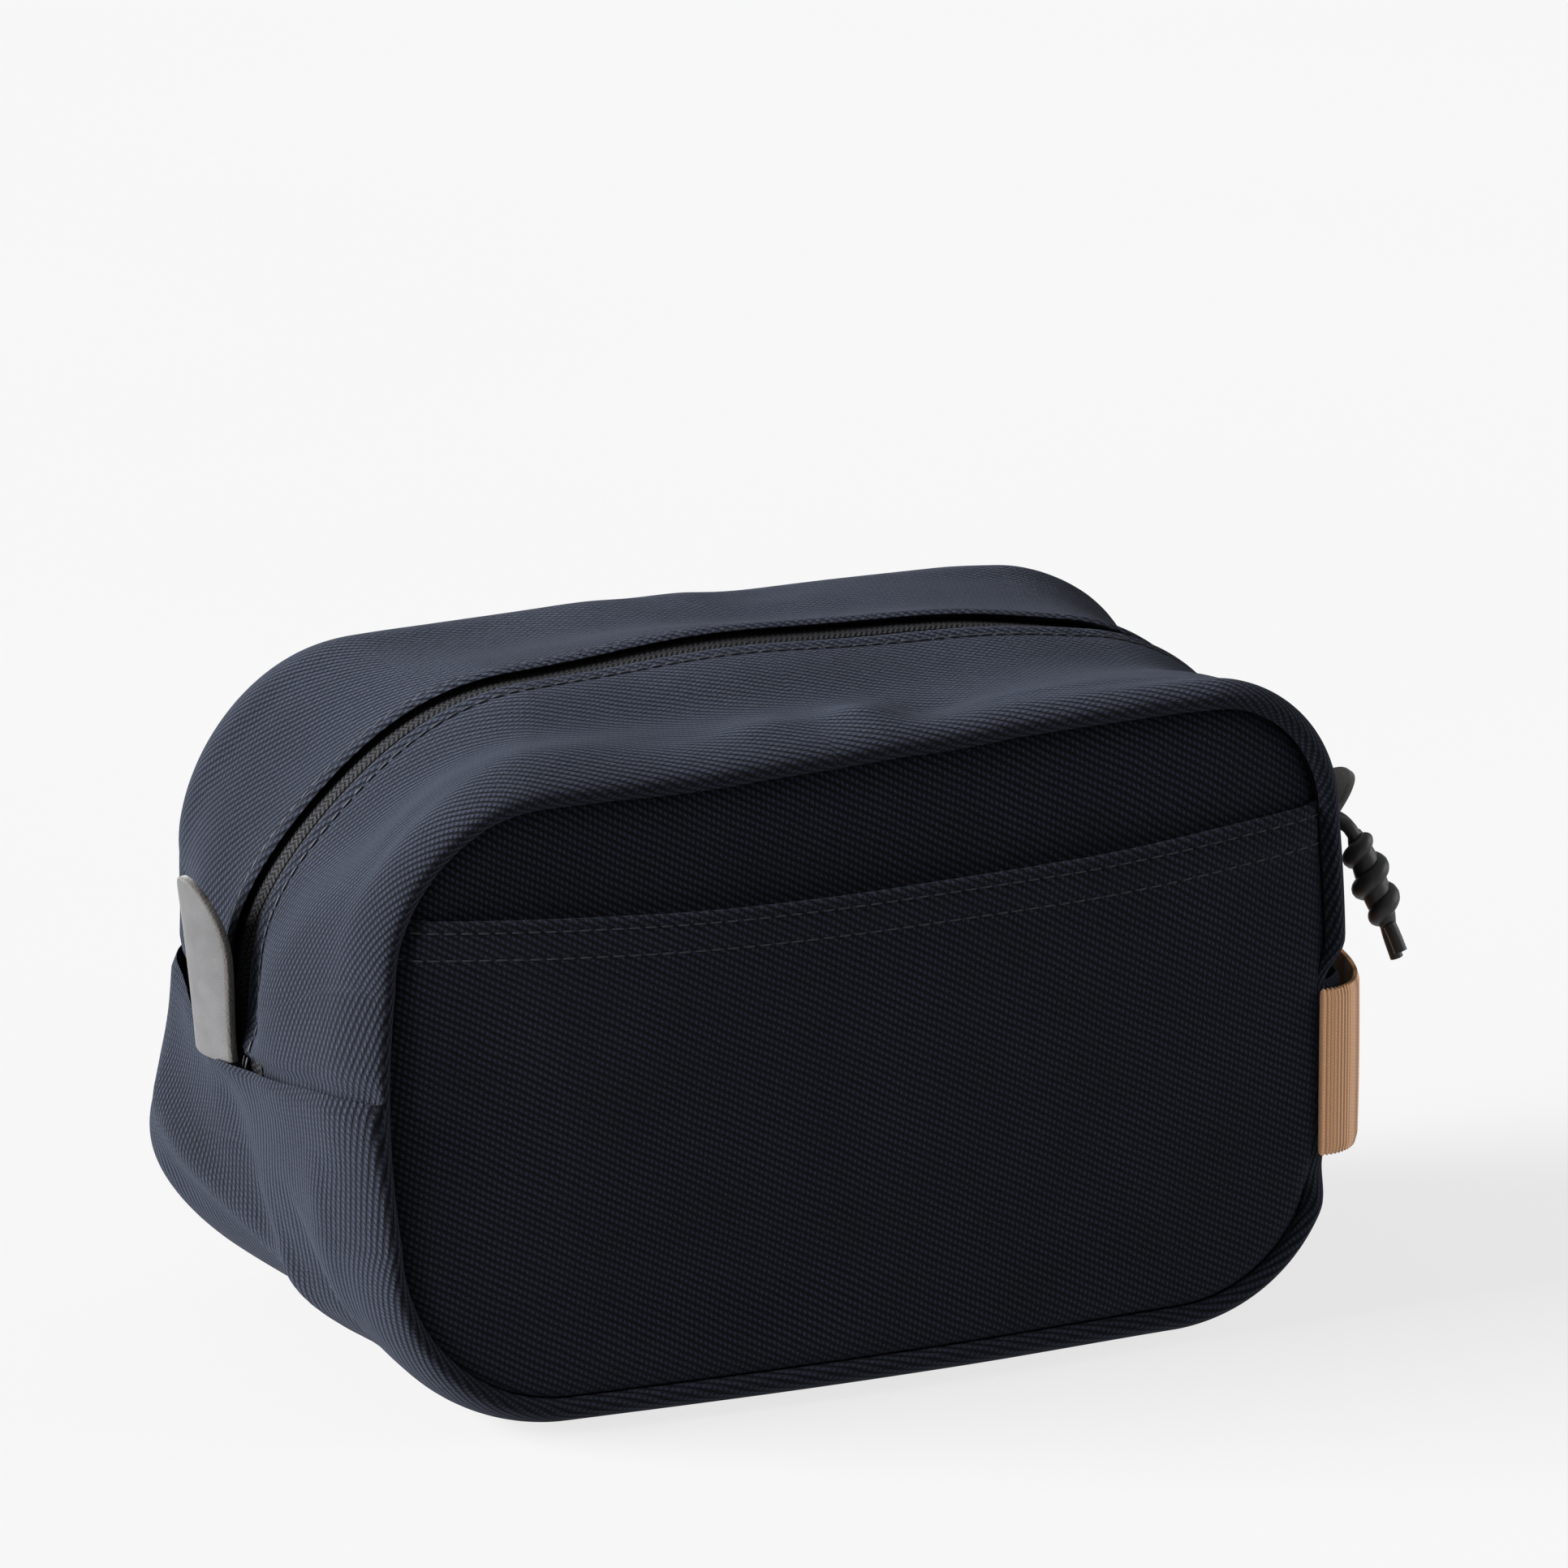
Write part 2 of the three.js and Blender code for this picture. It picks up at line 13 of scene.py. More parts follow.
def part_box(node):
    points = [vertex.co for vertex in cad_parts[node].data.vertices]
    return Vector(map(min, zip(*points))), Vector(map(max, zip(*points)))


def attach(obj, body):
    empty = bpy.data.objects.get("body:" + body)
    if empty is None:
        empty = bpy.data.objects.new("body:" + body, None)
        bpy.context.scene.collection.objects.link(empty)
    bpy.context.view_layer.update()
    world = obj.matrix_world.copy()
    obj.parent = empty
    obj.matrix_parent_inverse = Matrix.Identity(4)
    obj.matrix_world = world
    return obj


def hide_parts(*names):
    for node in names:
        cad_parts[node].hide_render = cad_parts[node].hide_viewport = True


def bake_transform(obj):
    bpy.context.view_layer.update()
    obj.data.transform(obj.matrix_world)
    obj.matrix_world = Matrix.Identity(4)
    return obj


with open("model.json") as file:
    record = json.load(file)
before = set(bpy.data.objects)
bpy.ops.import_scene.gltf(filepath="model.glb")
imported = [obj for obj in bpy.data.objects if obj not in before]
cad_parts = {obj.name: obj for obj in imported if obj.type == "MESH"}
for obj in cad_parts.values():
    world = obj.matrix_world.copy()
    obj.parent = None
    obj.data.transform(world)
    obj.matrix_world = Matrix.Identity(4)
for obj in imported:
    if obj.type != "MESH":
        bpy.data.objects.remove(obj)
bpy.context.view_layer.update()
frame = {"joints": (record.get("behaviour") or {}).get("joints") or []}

MM = 0.001


def corner(node, which):
    """The lowest (0) or highest (1) corner of a CAD node, in millimetres."""
    return np.array(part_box(node)[which]) / MM


# ---- the bag's form, from the frame ----

GAP = 0.3
HALF_DEPTH = corner("back_panel", 1)[1]
PANEL_TOP = corner("front_panel", 1)[2] + GAP
PANEL_BOTTOM = corner("front_panel", 0)[2] - GAP
PANEL_BOW = 2.0
PANEL_HALF = corner("pocket_panel", 1)[0] + GAP
PANEL_CORNERS = dict(bottom_right=34, top_right=24, top_left=36, bottom_left=38)
ROLL_OUT, ROLL_DEPTH = 8.0, 12.0

joints = {joint["name"]: joint for joint in frame["joints"]}
MIDDLE_HALF = corner("gusset_lower", 1)[0]
CENTRE_RIGHT = np.array(joints["slider_travel"]["pos_m"])[[0, 2]] / MM
SHOULDER_RIGHT = MIDDLE_HALF - CENTRE_RIGHT[0]
SHOULDER_LEFT = 70.0
SHOULDER_LEFT_RISE = 3.0
CROWN_ANGLE = math.radians(7)
MIDDLE_CORNERS = dict(bottom_right=42, bottom_left=52)
SEAM_SHARE = dict(right=0.48, left=0.6)

CANVAS = 1.4
LINING_INSET, LINING_THICKNESS, LINING_EDGE = 3.2, 0.6, 9.0
FOLD_EDGE = 5.5
CLOTH_EDGE = dict(front=FOLD_EDGE - 0.5, back=FOLD_EDGE - 0.8)
STITCH_EDGE = dict(front=FOLD_EDGE - 0.9, back=FOLD_EDGE - 1.4)
BACK_FOLD_RISE, BACK_STITCH_RISE = 0.8, 0.5
TAPE_TOP, TAPE_THICKNESS = 1.7, 0.8
TAPE_INNER, TAPE_OUTER = 0.18, 14.0
COIL_PLACE, COIL_INSET = 1.9, 3.5

# An outline has ten stretches: bottom, right corner, right side below and above its seam, right
# shoulder, crown, left shoulder, left side above and below its seam, and left corner.
STRETCHES = 10
RIGHT_SEAM, CROWN, LEFT_SEAM = 3.0, 5, 8.0


def arc(centre, radius, start, end, t):
    angle = start + (end - start) * t
    return np.stack([centre[0] + radius * np.cos(angle), centre[1] + radius * np.sin(angle)], -1)


def straight(start, end, t, bow=0.0):
    line = np.outer(1 - t, start) + np.outer(t, end)
    line[:, 0] += bow * 4 * t * (1 - t)
    return line


def outline_function(half, bottom, bow, corners, right, left, crown_angle):
    """A closed outline as a function of its station, 0 to 10, one unit for each stretch."""
    low_right = np.array([half, bottom + corners["bottom_right"]])
    low_left = np.array([-half, bottom + corners["bottom_left"]])
    high_right, high_left = np.array([half, right[1]]), np.array([-half, left[1]])
    centre_right = np.array([half - right[0], right[1]])
    centre_left = np.array([left[0] - half, left[1]])
    lean = np.array([math.sin(crown_angle), math.cos(crown_angle)])
    crown_right = centre_right + right[0] * lean
    crown_left = centre_left + left[0] * lean * [-1, 1]
    peak = (crown_right + crown_left) / 2
    peak[1] += math.tan(crown_angle) * (crown_right[0] - crown_left[0]) / 2
    quarter = math.pi / 2
    share_right, share_left = SEAM_SHARE["right"], 1 - SEAM_SHARE["left"]
    bottom_left, bottom_right = corners["bottom_left"], corners["bottom_right"]
    stretches = [
        lambda t: straight([bottom_left - half, bottom], [half - bottom_right, bottom], t),
        lambda t: arc([half - bottom_right, low_right[1]], bottom_right, -quarter, 0, t),
        lambda t: straight(low_right, high_right, t * share_right, bow),
        lambda t: straight(low_right, high_right, share_right + t * (1 - share_right), bow),
        lambda t: arc(centre_right, right[0], 0, quarter - crown_angle, t),
        lambda t: (np.outer((1 - t) ** 2, crown_right) + np.outer(2 * t * (1 - t), peak)
                   + np.outer(t ** 2, crown_left)),
        lambda t: arc(centre_left, left[0], quarter + crown_angle, 2 * quarter, t),
        lambda t: straight(high_left, low_left, t * share_left, -bow),
        lambda t: straight(high_left, low_left, share_left + t * (1 - share_left), -bow),
        lambda t: arc([bottom_left - half, low_left[1]], bottom_left, 2 * quarter, 3 * quarter, t),
    ]

    def at(station):
        station = np.mod(np.asarray(station, float), STRETCHES)
        points = np.zeros((len(station), 2))
        for k, stretch in enumerate(stretches):
            inside = np.floor(station).astype(int) == k
            if inside.any():
                points[inside] = stretch(station[inside] - k)
        return points

    return at


seam_line = outline_function(
    PANEL_HALF, PANEL_BOTTOM, PANEL_BOW, PANEL_CORNERS,
    (PANEL_CORNERS["top_right"], PANEL_TOP - PANEL_CORNERS["top_right"]),
    (PANEL_CORNERS["top_left"], PANEL_TOP - PANEL_CORNERS["top_left"]), 0.0)
middle_line = outline_function(
    MIDDLE_HALF, PANEL_BOTTOM - ROLL_OUT, 0.0, MIDDLE_CORNERS,
    (SHOULDER_RIGHT, CENTRE_RIGHT[1]),
    (SHOULDER_LEFT, CENTRE_RIGHT[1] + SHOULDER_RIGHT + SHOULDER_LEFT_RISE - SHOULDER_LEFT),
    CROWN_ANGLE)


def seam_normal(station):
    step = 0.02
    along = seam_line(station + step) - seam_line(station - step)
    along /= np.linalg.norm(along, axis=1)[:, None]
    return np.stack([along[:, 1], -along[:, 0]], 1)


def smooth(value, low, high):
    """From 0 at low to 1 at high, with soft ends."""
    t = np.clip((value - low) / (high - low), 0, 1)
    return t * t * (3 - 2 * t)


def bump(value, centre, width):
    return np.exp(-(((value - centre) / width) ** 2))


def ridge(y, z, start, end, width):
    """From 0 to 1 on a fold that runs from start to end on an end of the bag, as (y, z)."""
    start, end = np.array(start, float), np.array(end, float)
    along = (end - start) / np.linalg.norm(end - start)
    run = ((y - start[0]) * along[0] + (z - start[1]) * along[1]) / np.linalg.norm(end - start)
    off = (y - start[0]) * -along[1] + (z - start[1]) * along[0]
    return np.exp(-(off / width) ** 2) * smooth(run, -0.25, 0.2) * (1 - smooth(run, 0.85, 1.3))


def slack(x, y, z, depth):
    """How far the loose cloth stands in or out from its taut form, by place."""
    upper = smooth(z, 80, 112)
    high = smooth(z, 112, 132)
    front = smooth(-y, 4, 14)
    free = smooth(depth, 5, 18)
    hollow = -2.6 * high * free * bump(np.abs(y), 30, 15)
    puckers = (1.3 * np.sin(x / 5.6 + 0.9 * np.sin(x / 15)) * bump(x, 14, 34)
               + 0.8 * np.sin(x / 10.5 + 2.1)) * high * bump(depth, 13, 7) * (0.35 + 0.65 * front)
    dimples = 0.8 * np.sin(x / 15.0 + y / 10.0 + 1.0) * np.sin(y / 12.0 - x / 33.0) * upper * free
    left, right = smooth(-x, 88, 108), smooth(x, 88, 108)
    low = 1 - smooth(z, 60, 76)
    folds = left * (
        2.6 * ridge(y, z, (50, 54), (-24, 22), 6.5) - 2.2 * ridge(y, z, (48, 34), (6, 16), 8)
        + 1.8 * ridge(y, z, (-12, 44), (-20, 12), 4.5) - 1.6 * ridge(y, z, (-26, 46), (-36, 14), 5)
        - 1.4 * ridge(y, z, (4, 66), (-12, 36), 7) + 1.2 * ridge(y, z, (-44, 58), (-40, 26), 6))
    folds += right * (
        2.2 * ridge(y, z, (-48, 52), (20, 18), 6.5) - 1.8 * ridge(y, z, (-40, 30), (0, 14), 7)
        + 1.6 * ridge(y, z, (16, 50), (26, 14), 5) - 1.3 * ridge(y, z, (34, 52), (40, 16), 5))
    swell = (left + right) * low * free * 1.6 * bump(z, 48, 18)
    pinch = -3.4 * (left + right) * bump(z, 86, 15) * (
        bump(y, -9, 6) + 0.7 * bump(y, 13, 7)) * smooth(z, 72, 80)
    pinch += 1.5 * (left + right) * bump(z, 92, 18) * bump(np.abs(y), 27, 10)
    on_floor = smooth(z, 1.5, 12)
    return (hollow + puckers + dimples + folds * free + swell + pinch) * on_floor


def settle(points):
    """How the filled bag settles: its left end swells and leans, and its crown rises."""
    x, y, z = points[..., 0], points[..., 1], points[..., 2]
    left = smooth(-x, 66, 112)
    across = 1 - (np.clip(y, -HALF_DEPTH, HALF_DEPTH) / HALF_DEPTH) ** 2
    behind = smooth(y, -20, 55)
    lean = (4.6 * smooth(z, 55, 90) - 1.4 * smooth(z, 90, 110)
            + 3.0 * bump(z, 64, 22) - 6.0 * bump(z, 38, 22))
    settled = points.copy()
    settled[..., 0] += left * (lean * behind - 4.5 * across * bump(z, 84, 34))
    settled[..., 1] += left * 6.0 * across ** 1.5 * bump(z, 84, 40)
    face = smooth(-y, 20, 60)
    settled[..., 1] += face * 3.0 * np.clip((z - 75) / 65, -1, 1) * (1 - 0.8 * smooth(x, 20, 90))
    settled[..., 1] -= 3.0 * bump(x, -15, 70) * (1 - smooth(z, 6, 30)) * face
    near_seam = 1 - smooth(HALF_DEPTH - np.abs(y), 1, 10)
    high_right = smooth(x, -50, 95) * (1 - 0.45 * smooth(x, 80, 118)) * smooth(z, 80, 140)
    settled[..., 2] += (2.5 + 2.6 * near_seam) * high_right * face
    crown = 2.6 * bump(x, -45, 48) + 1.9 * smooth(x, -60, 5) * (1 - smooth(x, 70, 104))
    settled[..., 2] += crown * smooth(z, 105, 150) * smooth(y, 4, 40)
    return settled


def skin(station, y):
    """The taut outer skin over a grid of stations and depths: points [station][row]."""
    y = np.asarray(y, float)
    station = np.asarray(station, float)
    if station.ndim == 1:
        station = np.broadcast_to(station[:, None], (len(station), len(y)))
    flat = station.ravel()
    size = (*station.shape, 2)
    seam, normal = seam_line(flat).reshape(size), seam_normal(flat).reshape(size)
    middle = middle_line(flat).reshape(size)
    depth = HALF_DEPTH - np.abs(y)
    short = np.clip(1 - depth / ROLL_DEPTH, 0, 1)
    roll = (ROLL_OUT * np.sqrt(1 - short ** 2))[None, :, None]
    share = smooth(depth, 0, HALF_DEPTH)[None, :, None]
    line = (seam + normal * roll) * (1 - share) + middle * share
    across = np.broadcast_to(y[None, :], station.shape)
    return np.stack([line[..., 0], across, np.maximum(line[..., 1], 0)], -1)


def grid_normals(grid):
    along = np.gradient(grid, axis=0)
    across = np.gradient(grid, axis=1)
    normal = np.cross(across, along)
    return normal / np.maximum(np.linalg.norm(normal, axis=-1), 1e-9)[..., None]


def slack_skin(station, y):
    """The skin with its slack, kept above the floor."""
    taut = skin(station, y)
    normal = grid_normals(taut)
    depth = HALF_DEPTH - np.abs(taut[..., 1])
    taut += normal * slack(taut[..., 0], taut[..., 1], taut[..., 2], depth)[..., None]
    taut[..., 2] = np.maximum(taut[..., 2], 0.0)
    return taut


def lengths(grid):
    """Distances along the stations and across the rows, for cloth coordinates."""
    along = np.zeros(grid.shape[:2])
    across = np.zeros(grid.shape[:2])
    steps = np.linalg.norm(np.diff(grid, axis=0), axis=-1)
    along[1:] = np.cumsum(steps.mean(1))[:, None]
    across[:, 1:] = np.cumsum(np.linalg.norm(np.diff(grid, axis=1), axis=-1).mean(0))[None]
    return along, across


# ---- meshes ----

def new_mesh(name, points, faces, uv=None, material=None):
    """A mesh object from points in millimetres. uv is one pair for each point."""
    mesh = bpy.data.meshes.new(name)
    mesh.from_pydata([tuple(p) for p in np.asarray(points) * MM], [], faces)
    mesh.update()
    if uv is not None:
        layer = mesh.uv_layers.new(name="cloth")
        corners = np.zeros(len(mesh.loops), int)
        mesh.loops.foreach_get("vertex_index", corners)
        layer.data.foreach_set("uv", np.asarray(uv)[corners].astype(np.float32).ravel())
    mesh.polygons.foreach_set("use_smooth", [True] * len(mesh.polygons))
    mesh.set_sharp_from_angle(angle=math.radians(55))
    piece = bpy.data.objects.new(name, mesh)
    bpy.context.scene.collection.objects.link(piece)
    if material:
        mesh.materials.append(material)
    return piece


def grid_faces(stations, rows, offset=0, reverse=False):
    i, j = np.meshgrid(np.arange(stations - 1), np.arange(rows - 1), indexing="ij")
    a = (offset + i * rows + j).ravel()
    quads = np.stack([a, a + 1, a + rows + 1, a + rows], 1)
    return quads[:, ::-1] if reverse else quads


def shell(name, outer, inner, wales=0.0, material=None):
    """A closed sheet between two grids. wales is the weave's angle from the first direction."""
    stations, rows = outer.shape[:2]
    count = stations * rows
    faces = [grid_faces(stations, rows), grid_faces(stations, rows, count, True)]
    index = np.arange(count).reshape(stations, rows)
    border = np.concatenate([index[:, 0], index[-1, 1:], index[-2::-1, -1], index[0, -2:0:-1]])
    following = np.roll(border, -1)
    faces.append(np.stack([border, following, following + count, border + count], 1))
    along, across = lengths(outer)
    c, s = math.cos(wales), math.sin(wales)
    uv = np.stack([c * along + s * across, -s * along + c * across], -1).reshape(-1, 2)
    return new_mesh(name, np.concatenate([outer.reshape(-1, 3), inner.reshape(-1, 3)]),
                    np.concatenate(faces).tolist(), np.concatenate([uv, uv]), material)


def rounded(distance, thickness):
    """Half thickness of a cloth near a folded edge, from the distance to that edge."""
    reach = thickness / 2
    t = np.clip(distance / reach, 0, 1)
    return np.maximum(reach * np.sqrt(1 - (1 - t) ** 2), 0.06)


# ---- finishes ----

class Finish:
    """A material whose nodes are added one after another."""

    def __init__(self, name, roughness, **shader_values):
        self.material = bpy.data.materials.new(name)
        self.material.use_nodes = True
        self.tree = self.material.node_tree
        self.shader = self.tree.nodes["Principled BSDF"]
        self.shader.inputs["Roughness"].default_value = roughness
        for label, value in shader_values.items():
            self.shader.inputs[label.replace("_", " ")].default_value = value

    def plug(self, socket, value):
        if isinstance(value, bpy.types.NodeSocket):
            self.tree.links.new(value, socket)
        else:
            socket.default_value = value

    def node(self, kind, *values, output=0, **settings):
        made = self.tree.nodes.new("ShaderNode" + kind)
        for key, value in settings.items():
            setattr(made, key, value)
        for socket, value in zip(made.inputs, values):
            self.plug(socket, value)
        return made.outputs[output]

    def math(self, operation, *values):
        return self.node("Math", *values, operation=operation)

    def wave(self, phase):
        """From 0 to 1 and back once for each unit of phase."""
        turned = self.math("MULTIPLY", phase, 2 * math.pi)
        return self.math("MULTIPLY_ADD", self.math("COSINE", turned), 0.5, 0.5)

    def mix(self, share, dark, light):
        ramp = self.tree.nodes.new("ShaderNodeValToRGB")
        self.plug(ramp.inputs[0], share)
        ramp.color_ramp.elements[0].color = (*dark, 1)
        ramp.color_ramp.elements[1].color = (*light, 1)
        return ramp.outputs[0]

    def noise(self, vector, scale, detail=2.0):
        made = self.tree.nodes.new("ShaderNodeTexNoise")
        self.plug(made.inputs["Vector"], vector)
        made.inputs["Scale"].default_value = scale
        made.inputs["Detail"].default_value = detail
        return made.outputs["Fac"]

    def cloth_place(self):
        place = self.node("UVMap", uv_map="cloth")
        parts = self.tree.nodes.new("ShaderNodeSeparateXYZ")
        self.plug(parts.inputs[0], place)
        return place, parts.outputs[0], parts.outputs[1]

    def object_place(self):
        return self.node("TexCoord", output=3)

    def colour(self, value):
        self.plug(self.shader.inputs["Base Color"], value)

    def relief(self, height, depth, strength=1.0):
        made = self.tree.nodes.new("ShaderNodeBump")
        made.inputs["Strength"].default_value = strength
        made.inputs["Distance"].default_value = depth * MM
        self.plug(made.inputs["Height"], height)
        self.plug(self.shader.inputs["Normal"], made.outputs[0])


WALE_PITCH, FLOAT_LENGTH = 1.5, 1.25
LINING_PITCH, TAPE_RIB_PITCH, WEBBING_RIB_PITCH = 0.7, 1.3, 1.1


def twill_finish():
    """Washed navy twill: rope-like wales made of short slanted floats. Its colour follows the
    weave's height, with painted shade in the valleys between wales and painted highlights on their
    ridges.
    """
    finish = Finish("navy_twill", 0.95, Specular_IOR_Level=0.06, Sheen_Weight=0.05,
                    Sheen_Roughness=0.45, Sheen_Tint=(0.62, 0.72, 1.0, 1))
    place, along, across = finish.cloth_place()
    drift = finish.math("MULTIPLY", finish.noise(place, 0.06), 1.1)
    phase = finish.math("DIVIDE", finish.math("ADD", across, drift), WALE_PITCH)
    wale = finish.wave(phase)
    slant = finish.math("MULTIPLY_ADD", phase, 0.5, finish.math("DIVIDE", along, FLOAT_LENGTH))
    floats = finish.wave(slant)
    fibres = finish.noise(place, 3.2, 3)
    rope = finish.math("MULTIPLY", finish.math("POWER", wale, 0.75),
                       finish.math("MULTIPLY_ADD", floats, 0.5, 0.5))
    height = finish.math("MULTIPLY_ADD", finish.math("SUBTRACT", fibres, 0.5), 1.3, rope)
    wash = finish.noise(place, 0.045, 3)
    # painted shade and highlight: the colour darkens in the valleys between wales and lightens on
    # their ridges, times a washed tone that varies at random
    ridge_highlight = finish.math("POWER", finish.math("MAXIMUM", height, 0.0), 2.0)
    share = finish.math("MULTIPLY", ridge_highlight, finish.math("MULTIPLY_ADD", wash, 0.8, 0.58))
    finish.colour(finish.mix(share, (0.0004, 0.0005, 0.0008), (0.0156, 0.0186, 0.0300)))
    finish.relief(height, 0.5, 1.0)
    return finish.material


def lining_finish():
    """Plain-woven charcoal lining."""
    finish = Finish("charcoal_lining", 0.7, Sheen_Weight=0.1)
    place, along, across = finish.cloth_place()
    warp = finish.wave(finish.math("DIVIDE", along, LINING_PITCH))
    weft = finish.wave(finish.math("DIVIDE", across, LINING_PITCH))
    height = finish.math("ABSOLUTE", finish.math("SUBTRACT", warp, weft))
    mottled = finish.math("MULTIPLY_ADD", finish.noise(place, 0.3), 0.5, finish.math(
        "MULTIPLY", height, 0.6))
    finish.colour(finish.mix(mottled, (0.012, 0.012, 0.014), (0.05, 0.05, 0.056)))
    finish.relief(height, 0.12, 0.6)
    return finish.material


def tape_finish():
    """Zip tape: charcoal herringbone, speckled, with fine ribs across its length."""
    finish = Finish("zip_tape_weave", 0.9, Specular_IOR_Level=0.05)
    place, along, across = finish.cloth_place()
    chevron = finish.math("MULTIPLY", finish.math("PINGPONG", across, 1.6), 0.5)
    ribs = finish.wave(finish.math("ADD", finish.math("DIVIDE", along, TAPE_RIB_PITCH), chevron))
    speckle = finish.noise(place, 2.1, 3)
    height = finish.math("MULTIPLY_ADD", finish.math("SUBTRACT", speckle, 0.5), 2.6, ribs)
    finish.colour(finish.mix(finish.math("MULTIPLY", height, 0.8),
                             (0.0010, 0.0010, 0.0011), (0.0185, 0.0190, 0.0212)))
    finish.relief(height, 0.25, 0.8)
    return finish.material


def webbing_finish():
    """Tan webbing: ribs across its length, each of short yarn steps."""
    finish = Finish("tan_webbing", 0.72, Sheen_Weight=0.25, Sheen_Roughness=0.5)
    place, along, across = finish.cloth_place()
    ribs = finish.wave(finish.math("DIVIDE", along, WEBBING_RIB_PITCH))
    steps = finish.wave(finish.math("ADD", finish.math("DIVIDE", across, 0.8),
                                    finish.math("DIVIDE", along, 2.2)))
    fibres = finish.noise(place, 2.2, 3)
    height = finish.math("MULTIPLY", finish.math("POWER", ribs, 0.7),
                         finish.math("MULTIPLY_ADD", steps, 0.3, 0.7))
    share = finish.math("MULTIPLY_ADD", fibres, 0.35, finish.math("MULTIPLY", height, 0.65))
    finish.colour(finish.mix(share, (0.130, 0.062, 0.025), (0.53, 0.262, 0.110)))
    finish.relief(height, 0.25, 0.8)
    return finish.material


def grain_finish():
    """The tabs' outer face: grey leather with a fine close grain."""
    finish = Finish("grey_leather", 0.50, Specular_IOR_Level=0.42, Coat_Weight=0.05,
                    Coat_Roughness=0.35)
    place = finish.object_place()
    pores = finish.node("TexVoronoi", place)
    pores.node.inputs["Scale"].default_value = 2600
    cloudy = finish.noise(place, 150, 4)
    finish.colour(finish.mix(cloudy, (0.0105, 0.0104, 0.0108), (0.034, 0.034, 0.0355)))
    finish.relief(finish.math("MULTIPLY_ADD", pores, 0.5, cloudy), 0.06, 0.5)
    return finish.material


def flesh_finish():
    """The tabs' cut edges: dark brown and fibrous."""
    finish = Finish("raw_leather", 0.9, Sheen_Weight=0.2)
    place = finish.object_place()
    fibres = finish.noise(place, 1500, 4)
    cloudy = finish.noise(place, 260, 3)
    share = finish.math("MULTIPLY_ADD", fibres, 0.6, finish.math("MULTIPLY", cloudy, 0.5))
    finish.colour(finish.mix(share, (0.0024, 0.0019, 0.0014), (0.0130, 0.0104, 0.0074)))
    finish.relief(fibres, 0.3, 0.8)
    return finish.material


def lace_finish():
    """The pull's lace: black, rounded, satin, with fine creases along it."""
    finish = Finish("black_lace", 0.46, Specular_IOR_Level=0.28)
    place = finish.object_place()
    worn = finish.noise(place, 420, 3)
    finish.colour(finish.mix(worn, (0.006, 0.006, 0.006), (0.022, 0.022, 0.024)))
    finish.relief(finish.noise(place, 900, 2), 0.12, 0.5)
    return finish.material


def mottled_finish(name, roughness, grain, colours, relief=None, **shader_values):
    """A plain surface, mottled by noise. grain is its scale and detail."""
    finish = Finish(name, roughness, **shader_values)
    mottle = finish.noise(finish.object_place(), *grain)
    finish.colour(finish.mix(mottle, *colours))
    if relief:
        finish.relief(mottle, *relief)
    return finish.material


TWILL, LINING, TAPE, WEB = twill_finish(), lining_finish(), tape_finish(), webbing_finish()
GRAIN, FLESH, LACE = grain_finish(), flesh_finish(), lace_finish()
METAL = mottled_finish("gunmetal", 0.34, (500, 4), ((0.05, 0.05, 0.053), (0.17, 0.17, 0.18)),
                       (0.02, 0.4), Metallic=1.0)
COIL = mottled_finish("black_nylon", 0.4, (700, 2), ((0.008, 0.008, 0.009), (0.03, 0.03, 0.032)))
THREAD = mottled_finish("navy_thread", 0.75, (1800, 2),
                        ((0.0018, 0.0019, 0.0026), (0.0250, 0.0270, 0.0350)), (0.1, 0.6),
                        Specular_IOR_Level=0.2)


# ---- how a piece is carried ----

def mark(replaces):
    """Hide the CAD nodes that a piece stands for."""
    if replaces:
        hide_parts(*replaces)


def carry(piece, body="shell", replaces=()):
    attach(piece, body)
    mark(replaces)


def carry_mouth(piece, replaces=()):
    """Bake a top piece's placement into its mesh, and hide the CAD nodes that it stands for."""
    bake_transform(piece)
    mark(replaces)


def carry_pocket(piece, replaces=()):
    """Bake a pocket piece's placement into its mesh, and hide the CAD nodes that it stands for."""
    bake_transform(piece)
    mark(replaces)


# ---- camera, light and floor ----

VIEW_AZIMUTH, VIEW_ELEVATION = -23.6, 17.0
# Each sun: name, where its light comes from, strength, and width in degrees.
SUNS = (("key", (-0.91, 0.22, 0.32), 28.0, 42),
        ("top", (-0.35, 0.60, 0.72), 0.5, 50),
        ("fill", (0.92, -0.28, 0.27), 2.4, 50))
SKY_STRENGTH, FLOOR_REACH = 0.44, 9000.0


def place_camera():
    azimuth, elevation = math.radians(VIEW_AZIMUTH), math.radians(VIEW_ELEVATION)
    right = Vector((math.cos(azimuth), math.sin(azimuth), 0))
    back = Vector((math.sin(azimuth) * math.cos(elevation),
                   -math.cos(azimuth) * math.cos(elevation), math.sin(elevation)))
    up = back.cross(right)
    centre = Vector((0, 0, 0.075))
    distance, aside, above = 3.0, 0.0074, 0.0436
    data = bpy.data.cameras.new("camera")
    data.sensor_width = 36
    data.lens = 310.6
    data.clip_end = 50
    camera = bpy.data.objects.new("camera", data)
    bpy.context.scene.collection.objects.link(camera)
    camera.location = centre + back * distance
    aim = centre + right * aside + up * above
    look = (aim - camera.location).normalized()
    side = look.cross(Vector((0, 0, 1))).normalized()
    camera.rotation_euler = Matrix((side, side.cross(look), -look)).transposed().to_euler()
    bpy.context.scene.camera = camera


def place_suns():
    for name, direction, strength, spread in SUNS:
        lamp = bpy.data.lights.new(name, "SUN")
        lamp.energy = strength
        lamp.angle = math.radians(spread)
        light = bpy.data.objects.new(name, lamp)
        bpy.context.scene.collection.objects.link(light)
        light.rotation_euler = Vector(direction).to_track_quat("Z", "Y").to_euler()


